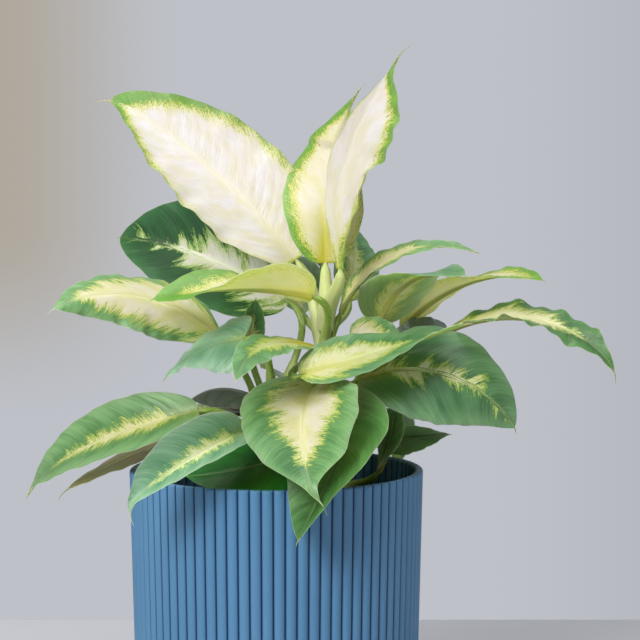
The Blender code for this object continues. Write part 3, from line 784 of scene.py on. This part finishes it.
def leaf_finish(kind):
    """Cream feathers on green, from the vein, zone and tone maps."""
    material, tree, shader = new_finish(f"leaf_{kind}")
    tint = TINTS[kind]
    vein, zone, tone = (carried(tree, name) for name in ("vein", "zone", "tone"))
    depth, edge, under = split(tree, zone)
    flush, dry, _ = split(tree, tone)
    midrib = sums(tree, "ABSOLUTE", split(tree, vein)[1])
    dark, light, halo, pale, cream, ivory, under_colour = (linear(*colour) for colour in tint[:7])
    line = linear(*tint.line)

    for x, y, strength in tint.noise:
        depth = sums(tree, "ADD", depth, cloud(tree, vein, (x, y, 1.0), strength, 1.0))

    marks = {name: speckle(tree, vein, *row) for name, row in LEAF_MARKS.items()}
    for name, strength in MARK_SHARES.items():
        marks[name] = times(tree, marks[name], strength)
    rim = ease(tree, edge, *EDGE_LIGHT_RUN, EDGE_LIGHT, 0.0)
    shade = sums(tree, "ADD", marks["patches"], marks["streaks"])
    green = blend(tree, sums(tree, "ADD", shade, rim), dark, light)

    middle = blend(tree, marks["blotches"], cream, ivory)
    middle = blend(tree, marks["stains"], middle, linear(*ROSE))
    middle = blend(tree, marks["threads"], middle, linear(*THREAD_GREEN))
    middle = blend(tree, ease(tree, depth, 0.3, 1.2), pale, middle)
    middle = blend(tree, ease(tree, depth, 0.05, 0.5), halo, middle)
    dashes = times(tree, marks["dashes"], ease(tree, depth, 0.1, 1.0, 0.8, 0.0))
    middle = blend(tree, dashes, middle, dark)
    near = blend(tree, ease(tree, depth, -1.2, -0.1, 0.0, 0.3), green, dark)
    colour = blend(tree, ease(tree, depth, -0.22, 0.05), near, middle)

    rib = ease(tree, midrib, ease(tree, under, 0, 1, 0.2, 1.4), ease(tree, under, 0, 1, 0.9, 3.0), 1.0, 0.0)
    rib = times(tree, rib, ease(tree, under, 0, 1, tint.rib, 0.85))
    rib_colour = blend(tree, under, linear(*MIDRIB_TOP), linear(*MIDRIB_UNDER))
    # the underside: its own paler colour, raised on the pale kinds as painted light shining through the blade
    colour = blend(tree, times(tree, under, tint.under_share), colour, under_colour)
    colour = blend(tree, rib, colour, rib_colour)
    colour = blend(tree, flush, colour, linear(*FLUSH))
    # the hairline along the margin; where its colour is pale it is a painted highlight of the lit edge
    colour = blend(tree, ease(tree, edge, 0.05, 0.5, 0.7, 0.0), colour, line)
    colour = blend(tree, dry, colour, linear(*DRIED))

    grain = cloud(tree, vein, (1.5, 0.16, 1.0), 0.7, 3.0)
    coat(tree, shader, colour, ease(tree, under, 0, 1, 0.33, 0.6), grain, 0.5, 0.0006)
    let_light_in(tree, shader, ease(tree, under, 0, 1, 0.6, 0.95), (0.8, 1.0, 0.6))
    shader.inputs["Specular IOR Level"].default_value = 0.5
    return material


leaf_finishes = {kind: leaf_finish(kind) for kind in TINTS}
print(len(leaf_finishes), "leaf finishes")

# %% [markdown]
# ## Growing the blades
#
# Each blade replaces its plain solid in the frame. The printed figures are the five largest differences
# between a fine surface's box and its solid's box. They come to about a centimetre, where the tip dries to a
# thread, hooks over or is drawn out, because the solid has none of these.

# %% The blades
YOUNG = ("leaf_upper_left", "leaf_upright_furled", "leaf_upright_tall")
worst = {}
for number, (name, leaf) in enumerate(LEAVES.items()):
    look = LOOKS[name]
    rings, maps = blade(leaf, look, number)
    slot = "young_leaf" if name in YOUNG else "leaf"
    skin(name + "_blade", rings, leaf_finishes[look.green], slot, [name], maps)
    low, high = (np.array(corner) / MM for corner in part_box(name))
    fine = rings.reshape(-1, 3)
    worst[name] = max(np.abs(fine.min(0) - low).max(), np.abs(fine.max(0) - high).max())
for name in sorted(worst, key=worst.get)[-5:]:
    print(f"{name}: box differs by {worst[name]:.1f} mm")

# %% [markdown]
# ## Canes and leaf stalks
#
# A stalk leaves its cane almost upright, then leans out and meets the blade along the blade's own direction:
# a Bezier curve with those two directions. Its lower part is a sheath, a pale half-open sleeve that clasps
# the cane, so its section is a round with a groove on the side towards the cane, deep below and shallow
# further up. On the youngest leaves the sheath reaches almost to the blade. A tube is a ring carried along
# the path. Its sideways direction is carried with it, so that the groove stays on one side and the tube
# doesn't spin.

# %% Paths and tubes
CURVE_STEPS = 90
SHEATH_RADIUS = 4.8
YOUNG_SHEATH_RADIUS = 5.6
STALK_RADIUS = 2.2
STALK_TAPER = 0.5  # how much a stalk narrows where it runs into the midrib
SHEATH_SHARE = 0.45  # the sheath's share of a stalk
YOUNG_SHEATH_SHARE = 0.92
STALK_CLIMB = 0.38
STALK_LEAN = 0.1
STALK_RUN_IN = 0.3
STALK_STEPS = 48
TUBE_SIDES = 28
CANE_FOOT_RADIUS = 7.0
CANE_TIP_RADIUS = 4.5
CANE_SINK = 9.0
CANE_STEPS = 160
NODE_SPACING = 11.0  # between the leaf scars on a cane
SCAR_RING = (0.5, 0.18)  # height and width of the ring at a scar; widths are shares of |sin| along the cane
SCAR_DIP = (0.25, 0.1)  # depth and width of the dip beside it
SCAR_DIP_PLACE = 0.3
STALK_GROOVE = 0.12  # depth of the groove, as a share of the radius
SHEATH_GROOVE = 0.4  # how much deeper it is in the sheath
GROOVE_TURN = 0.6  # its width, in radians round the stalk
TAPER_FROM = 0.86  # where a stalk starts to narrow
RIPE = 0.8  # how fast a stalk turns green along its length; more is later
YOUNG_RIPE = 3.0
STREAK_ROUND = 4.0  # radius of the circle that the streaks are read on
TUBE_SHIFT = 9.1  # gives each tube a stretch of noise of its own


def smooth_curve(points, count):
    """A Catmull-Rom curve: between two points, a cubic whose slopes point along their neighbours."""
    knots = np.asarray(points, float)
    knots = np.vstack([2 * knots[0] - knots[1], knots, 2 * knots[-1] - knots[-2]])
    place = np.linspace(0, len(knots) - 3, count)
    left = np.minimum(place.astype(int), len(knots) - 4)
    t = (place - left)[:, None]
    p0, p1, p2, p3 = (knots[left + k] for k in range(4))
    return 0.5 * (
        2 * p1 + (p2 - p0) * t + (2 * p0 - 5 * p1 + 4 * p2 - p3) * t**2
        + (3 * p1 - p0 - 3 * p2 + p3) * t**3
    )


def stalk_path(leaf):
    """A Bezier curve from inside the cane, up and out, then along the blade's direction into its midrib."""
    cane = smooth_curve(CANES[leaf.stem], CURVE_STEPS)
    start = np.array([np.interp(leaf.node, cane[:, 2], cane[:, axis]) for axis in range(3)])
    points, forward, out, _ = midline(leaf, np.array([0.0, 0.04]))
    end = points[0] - out[0] * RIDGE / 2
    reach = np.linalg.norm(end - start)
    outwards = (end - start) * (1, 1, 0)
    outwards = outwards / np.linalg.norm(outwards)
    first = start + (outwards * STALK_LEAN + (0, 0, STALK_CLIMB)) * reach
    last = end - forward[0] * STALK_RUN_IN * reach
    t = np.linspace(0, 1, STALK_STEPS)[:, None]
    path = (1 - t) ** 3 * start + 3 * (1 - t) ** 2 * t * first + 3 * (1 - t) * t**2 * last + t**3 * end
    return np.vstack([path, points[1] - out[1] * (BLADE_THICK + RIDGE / 2)]), -outwards


def round_angles(count):
    """Evenly spaced angles, once round."""
    return np.linspace(0, 2 * np.pi, count, endpoint=False)


def tube(path, radius, facing):
    """Rings of radius[step, side] round a path; the first side looks towards facing."""
    along = np.gradient(path, axis=0)
    along /= np.linalg.norm(along, axis=1)[:, None]
    side = np.asarray(facing, float)
    sides = []
    for direction in along:
        side = side - direction * (side @ direction)
        side = side / np.linalg.norm(side)
        sides.append(side)
    sides = np.array(sides)
    other = np.cross(along, sides)
    angle = round_angles(radius.shape[1])
    spokes = np.cos(angle)[:, None] * sides[:, None] + np.sin(angle)[:, None] * other[:, None]
    return path[:, None] + radius[..., None] * spokes


def tube_map(path, sides, number, ripe=1.0):
    """Length along the tube, place round it, a number of its own, and how far along its colours it is."""
    length = np.concatenate([[0], np.cumsum(np.linalg.norm(np.diff(path, axis=0), axis=1))])
    angle = round_angles(sides)
    ones = np.ones((len(path), sides))
    share = (length[:, None] / length[-1]) ** ripe
    run = [ones * length[:, None], np.cos(angle) * ones * STREAK_ROUND, ones * number * TUBE_SHIFT]
    turn = [np.sin(angle) * ones * STREAK_ROUND, share * ones, ones * 0]
    return {"run": np.stack(run, -1), "turn": np.stack(turn, -1)}


# %% [markdown]
# ## The stem's skin
#
# Stalks are pale at the sheath and greener towards the blade, with fine streaks along them. The streaks come
# from noise read at the place round the tube, given as a cosine and a sine so that it joins up at the back.

# %% Stem finish
STEM_COLOURS = ((228, 236, 172), (206, 224, 138), (172, 200, 94), (134, 164, 60))
SHEATH_COLOURS = ((228, 234, 172), (222, 232, 158), (206, 222, 128))


def stem_finish(name, colours, streak_colour):
    """Pale sheath to green stalk, with streaks and small pale flecks."""
    material, tree, shader = new_finish(name)
    run, turn = carried(tree, "run"), carried(tree, "turn")
    share = split(tree, turn)[1]
    place = add(tree, "ShaderNodeVectorMath", {0: run, 1: turn}, operation="ADD").outputs[0]
    streaks = speckle(tree, place, (0.03, 0.5, 1.0), 3.0, -0.2, 0.2)
    flecks = speckle(tree, place, (0.25, 0.8, 1.0), 1.0, 0.12, 0.2)
    stops = [(k / (len(colours) - 1), linear(*colour)) for k, colour in enumerate(colours)]
    colour = ramp(tree, share, stops)
    colour = blend(tree, times(tree, streaks, 0.35), colour, linear(*streak_colour))
    colour = blend(tree, times(tree, flecks, 0.4), colour, stops[0][1])
    coat(tree, shader, colour, ease(tree, streaks, 0, 1, 0.36, 0.5), streaks, 0.3, 0.0005)
    let_light_in(tree, shader, 0.4, (0.7, 1.0, 0.3))
    return material


stalk_skin = stem_finish("stalk", STEM_COLOURS, (62, 104, 36))
sheath_skin = stem_finish("sheath", SHEATH_COLOURS, (150, 180, 80))
cane_skin = stem_finish("cane", ((120, 128, 74), (96, 122, 52), (104, 136, 56)), (70, 86, 42))

# %% The canes


def cane(name, route, number):
    """A tapering tube; where |sin| along it is near 0, bell curves raise a ring with a dip on each side."""
    fine = smooth_curve(route, CURVE_STEPS)
    soil_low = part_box("potting_soil")[1][2] / MM - CANE_SINK
    heights = np.linspace(soil_low, fine[-1, 2], CANE_STEPS)
    path = np.stack([np.interp(heights, fine[:, 2], fine[:, axis]) for axis in range(3)], -1)
    taper = np.linspace(CANE_FOOT_RADIUS, CANE_TIP_RADIUS, CANE_STEPS)
    beat = np.abs(np.sin(np.pi * (heights + number * 3) / NODE_SPACING))
    ring, dip = bell(beat, SCAR_RING[1]), bell(beat - SCAR_DIP_PLACE, SCAR_DIP[1])
    scars = SCAR_RING[0] * ring - SCAR_DIP[0] * dip
    radius = (taper + scars)[:, None] * np.ones(TUBE_SIDES)
    rings = tube(path, radius, (0, 1, 0.1))
    skin(name + "_cane", rings, cane_skin, "stem", [name], tube_map(path, TUBE_SIDES, number))


for number, (name, route) in enumerate(CANES.items()):
    cane(name, route, number)

# %% The stalks


def stalk(name, leaf, number):
    """A stalk: its radius eases from sheath to tip, and a groove that fades upwards faces the cane."""
    path, facing = stalk_path(leaf)
    share = np.linspace(0, 1, len(path))[:, None]
    sheath_share = YOUNG_SHEATH_SHARE if name in YOUNG else SHEATH_SHARE
    sheath = unit(1 - share / sheath_share) ** 0.6
    widest = YOUNG_SHEATH_RADIUS if name in YOUNG else SHEATH_RADIUS
    body = STALK_RADIUS + (widest - STALK_RADIUS) * sheath
    body = body * (1 - STALK_TAPER * swell(share, TAPER_FROM, 1.0))
    angle = round_angles(TUBE_SIDES)
    turned = (angle + np.pi) % (2 * np.pi) - np.pi
    groove = 1 - (STALK_GROOVE + SHEATH_GROOVE * sheath) * bell(turned, GROOVE_TURN)
    maps = tube_map(path, TUBE_SIDES, number, YOUNG_RIPE if name in YOUNG else RIPE)
    finish = sheath_skin if name in YOUNG else stalk_skin
    skin(name.replace("leaf", "stalk"), tube(path, body * groove, facing), finish, "stem", (), maps)


for number, (name, leaf) in enumerate(LEAVES.items()):
    stalk(name, leaf, number)
print(len(CANES), "canes and", len(LEAVES), "stalks")

# %% [markdown]
# ## The pot: a turned shell with reeds
#
# A pot is a profile turned round an axis. Here the profile is a list of levels, each with a radius, a height
# and how deep the reeds are there, running from the middle of the foot up the outside, over the rim and down
# the inside to the middle of the floor. The reeds are a ripple in the radius: an arc each, so their crests
# are broad and the grooves between them are narrow and dark.

# %% Pot shape
REED_COUNT = 80
REED_POINTS = 16
REED_SLOPE = 60.0  # how far the surface has turned where two reeds meet, degrees
REED_DEPTH = 2.0
INNER_REED_DEPTH = 1.0
POT_WALL = 4.5
POT_FLOOR = 5.0
FOOT_RADIUS = 86.0
EDGE_ROUND = 1.4
WALL_LEVELS = 24


def pot_levels():
    """Radius, height and reed depth down the profile: foot, outer wall, rounded rim, inner wall and floor."""
    slope = (RIM_RADIUS - FOOT_RADIUS) / POT_HEIGHT
    quarter = np.linspace(0, np.pi / 2, 6)
    foot_in = FOOT_RADIUS - REED_DEPTH
    levels = [(radius, 0.0, 0.0) for radius in (foot_in * 0.3, foot_in * 0.7, foot_in - EDGE_ROUND)]
    for turn in quarter:
        out = FOOT_RADIUS - EDGE_ROUND * (1 - np.sin(turn))
        levels.append((out, EDGE_ROUND * (1 - np.cos(turn)), REED_DEPTH))
    for height in np.linspace(EDGE_ROUND * 2, POT_HEIGHT - EDGE_ROUND * 2, WALL_LEVELS):
        levels.append((FOOT_RADIUS + slope * height, height, REED_DEPTH))
    for turn in quarter:
        out = RIM_RADIUS - EDGE_ROUND * (1 - np.cos(turn))
        depth = REED_DEPTH * (1 - 0.35 * np.sin(turn))
        levels.append((out, POT_HEIGHT - EDGE_ROUND * (1 - np.sin(turn)), depth))
    inner = RIM_RADIUS - POT_WALL
    for turn in quarter:
        radius = inner + EDGE_ROUND * (1 - np.sin(turn))
        levels.append((radius, POT_HEIGHT - EDGE_ROUND * (1 - np.cos(turn)), INNER_REED_DEPTH * np.sin(turn)))
    for height in np.linspace(POT_HEIGHT - EDGE_ROUND * 2, POT_FLOOR, WALL_LEVELS // 2):
        levels.append((FOOT_RADIUS + slope * height - POT_WALL, height, INNER_REED_DEPTH))
    levels.append((inner * 0.4, POT_FLOOR, 0.0))
    return np.array(levels)


def reed_arc():
    """Places across one reed and its height share there: an arc, stepped evenly in the angle it turns."""
    turn = np.radians(np.linspace(-REED_SLOPE, REED_SLOPE, REED_POINTS + 1)[:-1])
    edge = np.radians(REED_SLOPE)
    crest = (np.cos(turn) - np.cos(edge)) / (1 - np.cos(edge))
    return 0.5 + 0.5 * np.sin(turn) / np.sin(edge), crest


def pot_rings():
    """Every level as a ring: its radius less the groove, which is the reeds' depth * (1 - crest)."""
    levels = pot_levels()
    place, crest = reed_arc()
    angle = (2 * np.pi / REED_COUNT * (np.arange(REED_COUNT)[:, None] + place)).ravel()
    crest = np.tile(crest, REED_COUNT)
    reach = levels[:, :1] - levels[:, 2:] * (1 - crest)
    height = np.broadcast_to(levels[:, 1:2], reach.shape)
    rings = np.stack([reach * np.cos(angle), reach * np.sin(angle), height], -1)
    glaze = np.stack([np.broadcast_to(crest, reach.shape), height, reach], -1)
    return rings, glaze


# %% [markdown]
# ## The pot's finish
#
# The colour is a satin blue with painted shade in the grooves between the reeds: it darkens from the crests
# towards the bottom of each groove. A soft cloud of a slightly different blue keeps it from looking printed.

# %% Pot finish
POT_BLUE = (90, 140, 180)
# painted shade: the colour at the bottom of a groove
POT_GROOVE_SHADE = (0, 36, 80)
POT_DEEP = (84, 134, 174)


def pot_finish():
    """Satin blue with painted shade in the grooves between the reeds, and fine pits."""
    material, tree, shader = new_finish("pot_glaze")
    # crest: 1 on a reed's crest and 0 in its groove; it places the painted shade
    crest = split(tree, carried(tree, "glaze"))[0]
    place = add(tree, "ShaderNodeTexCoord").outputs["Object"]
    mottle = speckle(tree, place, (18, 18, 9), 3.0, -0.2, 0.2)
    base = blend(tree, mottle, linear(*POT_BLUE), linear(*POT_DEEP))
    # painted shade: the blue darkens from the crest into the groove
    colour = blend(tree, ease(tree, crest, 0.04, 0.6), linear(*POT_GROOVE_SHADE), base)
    pits = cloud(tree, place, (900, 900, 900), 1.0, 2.0)
    coat(tree, shader, colour, ease(tree, mottle, 0, 1, 0.42, 0.5), pits, 0.12, 0.0003)
    shader.inputs["Specular IOR Level"].default_value = 0.3
    return material


rings, glaze = pot_rings()
skin("reeded_pot", rings, pot_finish(), "pot_glaze", ["pot"], {"glaze": glaze})
print(f"{REED_COUNT} reeds, {rings.shape[0] * rings.shape[1]} points")

# %% [markdown]
# ## The soil
#
# Potting soil is a low mound of crumbs. The mound is a disc of rings whose height is pushed up and down by a
# sum of waves in many directions, which reads as clods. On it lie some eight hundred separate crumbs of bark
# and peat: each one is a small lump with a few dozen faces, turned and squashed at random from a fixed seed.

# %% Soil surface
SOIL_SIDES = 160
SOIL_STEPS = 60
SOIL_EDGE_HEIGHT = 138.0
SOIL_CROWN = 5.0
SOIL_CLEAR = 0.6
CLOD_LENGTHS = (23, 17, 12, 9, 7, 5.5, 4.3, 3.4, 2.7)
CLOD_SHARE = 0.035  # height of a clod wave, as a share of its length
CRUMB_COUNT = 620
soil_low, soil_high = (np.array(corner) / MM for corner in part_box("potting_soil"))
SOIL_RADIUS = soil_high[0]


def clods(x, y):
    """Height of the clods: waves in seeded directions and lengths, each smaller as it gets shorter."""
    random = np.random.default_rng(5)
    height = np.zeros_like(x)
    for length in CLOD_LENGTHS:
        for _ in range(3):
            turn, phase = random.uniform(0, 2 * np.pi, 2)
            reach = x * np.cos(turn) + y * np.sin(turn)
            height += CLOD_SHARE * length * np.sin(2 * np.pi * reach / length + phase)
    return height


def soil_height(x, y):
    """The mound: highest in the middle, falling with the square of the distance, with clods on it."""
    share = np.hypot(x, y) / SOIL_RADIUS
    return SOIL_EDGE_HEIGHT + SOIL_CROWN * (1 - share**2) + clods(x, y) * 0.55


def soil_rings():
    """A plug: up the side, then rings across the mound to its middle."""
    angle = round_angles(SOIL_SIDES)
    rings = []
    foot = FOOT_RADIUS - POT_WALL - INNER_REED_DEPTH - SOIL_CLEAR
    for radius, height in ((foot * 0.5, soil_low[2]), (foot, soil_low[2])):
        rings.append(np.stack([radius * np.cos(angle), radius * np.sin(angle), angle * 0 + height], -1))
    for radius in np.linspace(SOIL_RADIUS - SOIL_CLEAR, 0.5, SOIL_STEPS):
        x, y = radius * np.cos(angle), radius * np.sin(angle)
        rings.append(np.stack([x, y, soil_height(x, y)], -1))
    return np.array(rings)


# %% Soil finish


def soil_finish(name, dark, light):
    """Dark peat with brown and pale specks; the bump is a fine crumble."""
    material, tree, shader = new_finish(name)
    place = add(tree, "ShaderNodeTexCoord").outputs["Object"]
    grain = speckle(tree, place, (350, 350, 350), 4.0, -0.2, 0.25, 0.6)
    specks = speckle(tree, place, (900, 900, 900), 1.0, 0.14, 0.2)
    colour = blend(tree, grain, linear(*dark), linear(*light))
    colour = blend(tree, times(tree, specks, 0.3), colour, linear(148, 128, 96))
    crumble = cloud(tree, place, (700, 700, 700), 1.0, 5.0, 0.65)
    coat(tree, shader, colour, ease(tree, grain, 0, 1, 0.8, 0.98), crumble, 0.8, 0.0015)
    shader.inputs["Specular IOR Level"].default_value = 0.25
    return material


peat = soil_finish("peat", (30, 22, 16), (70, 52, 36))
bark = soil_finish("bark", (62, 42, 26), (118, 84, 52))
skin("soil_mound", soil_rings(), peat, "soil", ["potting_soil"])

# %% Crumbs
LUMP_ROWS = 4
LUMP_SIDES = 7
LUMP_CUT = 0.3  # angle at which a lump's first and last ring stand from its poles, in radians
LUMP_ROUGH = 0.18  # how far a lump's points are pushed in or out
LEAST_STRETCH = (0.6, 0.5, 0.35)
MOST_STRETCH = (1.5, 1.0, 0.7)
CRUMB_MARGIN = 4.0  # kept free of crumbs along the soil's edge


def crumbs(name, count, size, finish, seed):
    """Lumps scattered on the mound: a ball of rings, stretched, turned about Z and set into the surface."""
    random = np.random.default_rng(seed)
    around = round_angles(LUMP_SIDES)
    up = np.linspace(LUMP_CUT, np.pi - LUMP_CUT, LUMP_ROWS)
    ball = np.stack(
        [np.outer(np.sin(up), np.cos(around)), np.outer(np.sin(up), np.sin(around)),
         np.outer(np.cos(up), np.ones(LUMP_SIDES))], -1,
    )
    points, quads, triangles = closed_grid(ball)
    radius = (SOIL_RADIUS - CRUMB_MARGIN) * np.sqrt(random.uniform(0, 1, count))
    bearing = random.uniform(0, 2 * np.pi, count)
    x, y = radius * np.cos(bearing), radius * np.sin(bearing)
    scale = size * random.uniform(0.5, 1.0, (count, 1))
    scale = scale * random.uniform(LEAST_STRETCH, MOST_STRETCH, (count, 3))
    rough = 1 + random.uniform(-LUMP_ROUGH, LUMP_ROUGH, (count, len(points), 1))
    lump_x, lump_y, lump_z = np.moveaxis(points * rough * scale[:, None], -1, 0)
    turn = random.uniform(0, 2 * np.pi, count)
    cos, sin = np.cos(turn)[:, None], np.sin(turn)[:, None]
    turned = np.stack([lump_x * cos - lump_y * sin, lump_x * sin + lump_y * cos, lump_z], -1)
    centres = np.stack([x, y, soil_height(x, y) + scale[:, 2] * 0.3], -1)
    placed = (turned + centres[:, None]).reshape(-1, 3)
    shift = np.arange(count)[:, None, None] * len(points)
    new_piece(
        name, placed, (quads + shift).reshape(-1, 4), (triangles + shift).reshape(-1, 3), finish, "soil"
    )


crumbs("peat_crumbs", CRUMB_COUNT, 2.4, peat, 11)
crumbs("bark_crumbs", CRUMB_COUNT // 3, 3.2, bark, 12)
print(f"soil radius {SOIL_RADIUS:.1f} mm")

# %% [markdown]
# ## The stage: table, light and camera
#
# The plant stands on a pale table in front of nothing: the world itself is a soft pale grey, a little warmer
# high on the left and a little dimmer on the right, so it is the backdrop too. As a fill light it would be
# too strong, because light that comes evenly from everywhere hides the form of the leaves. So the Light Path
# node tells the two apart: rays that come from the camera or that were mirrored see the backdrop, and all
# others see a dimmer one. One large softbox stands high on the left in front and does most of the work, a
# second one hangs overhead, and a small warm light stands low on the right, so that the shaded side of the
# pot isn't dead.

# %% Table
TABLE_BACK = 320.0
TABLE_FRONT = -1900.0
TABLE_HALF = 1600.0
TABLE_THICK = 30.0
TABLE_PAINT = (212, 215, 224)
TABLE_PALE = (218, 221, 230)


def table_finish():
    """Matt pale paint with a very soft cloud in it."""
    material, tree, shader = new_finish("table_paint")
    place = add(tree, "ShaderNodeTexCoord").outputs["Object"]
    mottle = speckle(tree, place, (3, 3, 3), 3.0, -0.2, 0.2)
    colour = blend(tree, mottle, linear(*TABLE_PAINT), linear(*TABLE_PALE))
    wire(tree, colour, shader.inputs["Base Color"])
    shader.inputs["Roughness"].default_value = 0.6
    return material


def table():
    """A flat board whose top is at the pot's foot."""
    mesh = bpy.data.meshes.new("table")
    low = np.array([-TABLE_HALF, TABLE_FRONT, -TABLE_THICK]) * MM
    high = np.array([TABLE_HALF, TABLE_BACK, 0.0]) * MM
    corners = np.array([[x, y, z] for x in (0, 1) for y in (0, 1) for z in (0, 1)])
    faces = [(0, 1, 3, 2), (4, 6, 7, 5), (0, 4, 5, 1), (2, 3, 7, 6), (0, 2, 6, 4), (1, 5, 7, 3)]
    mesh.from_pydata((low + (high - low) * corners).tolist(), [], faces)
    mesh.materials.append(table_finish())
    board = bpy.data.objects.new("table", mesh)
    bpy.context.scene.collection.objects.link(board)
    board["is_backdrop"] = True


table()

# %% Light
BACKDROP = (190, 193, 200)
BACKDROP_WARM = (175, 168, 157)  # high on the left
BACKDROP_DIM = (181, 183, 191)  # far on the right
WORLD_FILL = 0.3  # the world's strength as a fill light

scene = bpy.context.scene
world = bpy.data.worlds.new("studio")
world.use_nodes = True
sky = world.node_tree
background = sky.nodes["Background"]
toward = add(sky, "ShaderNodeTexCoord").outputs["Generated"]
sideways, _, upward = split(sky, toward)
warm = times(sky, ease(sky, sideways, -0.15, -0.06, 1.0, 0.0), ease(sky, upward, -0.13, -0.03))
backdrop = blend(sky, ease(sky, sideways, 0.07, 0.18), linear(*BACKDROP), linear(*BACKDROP_DIM))
backdrop = blend(sky, warm, backdrop, linear(*BACKDROP_WARM))
path = add(sky, "ShaderNodeLightPath").outputs
seen = sums(sky, "MAXIMUM", path["Is Camera Ray"], path["Is Glossy Ray"])
wire(sky, backdrop, background.inputs["Color"])
wire(sky, ease(sky, seen, 0, 1, WORLD_FILL, 1.0), background.inputs["Strength"])
scene.world = world
scene.view_settings.view_transform = "Standard"


def softbox(name, place, aim, size, watts, colour):
    """A square area light at place, looking at aim, both in millimetres."""
    lamp = bpy.data.lights.new(name, "AREA")
    lamp.size = size * MM
    lamp.energy = watts
    lamp.color = colour
    stand = bpy.data.objects.new(name, lamp)
    direction = (np.array(aim) - place) * MM
    stand.location = np.array(place) * MM
    stand.rotation_euler = Vector(direction).to_track_quat("-Z", "Y").to_euler()
    scene.collection.objects.link(stand)


softbox("key", (-850, -1350, 1250), (0, 0, 250), 800, 28, (1.0, 0.985, 0.95))
softbox("top", (150, -250, 2050), (0, 0, 200), 1200, 19, (1.0, 1.0, 1.0))
softbox("warm_fill", (1100, -500, 300), (0, 0, 150), 500, 0.8, (1.0, 0.72, 0.5))

# %% Camera
CAMERA_PLACE = (26.7, -1286.0, 355.0)
CAMERA_TILT = 4.4  # degrees below level
CAMERA_LENS = 119.0
camera = bpy.data.objects.new("camera", bpy.data.cameras.new("camera"))
camera.data.sensor_width = 36.0
camera.data.lens = CAMERA_LENS
camera.data.clip_start = 0.01
camera.location = np.array(CAMERA_PLACE) * MM
camera.rotation_euler = (np.radians(90 - CAMERA_TILT), 0, 0)
scene.collection.objects.link(camera)
scene.camera = camera

# %% [markdown]
# ## Sizes, and the end
#
# The box of the finished plant is written beside the frame's box, as how far each of its corners has moved.

# %% Sizes
seen_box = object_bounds()
for axis, letter in enumerate("XYZ"):
    grown = [(seen_box[k][axis] - cad_box[k][axis]) / MM for k in (0, 1)]
    print(f"{letter}: low corner {grown[0]:+.1f} mm, high corner {grown[1]:+.1f} mm")
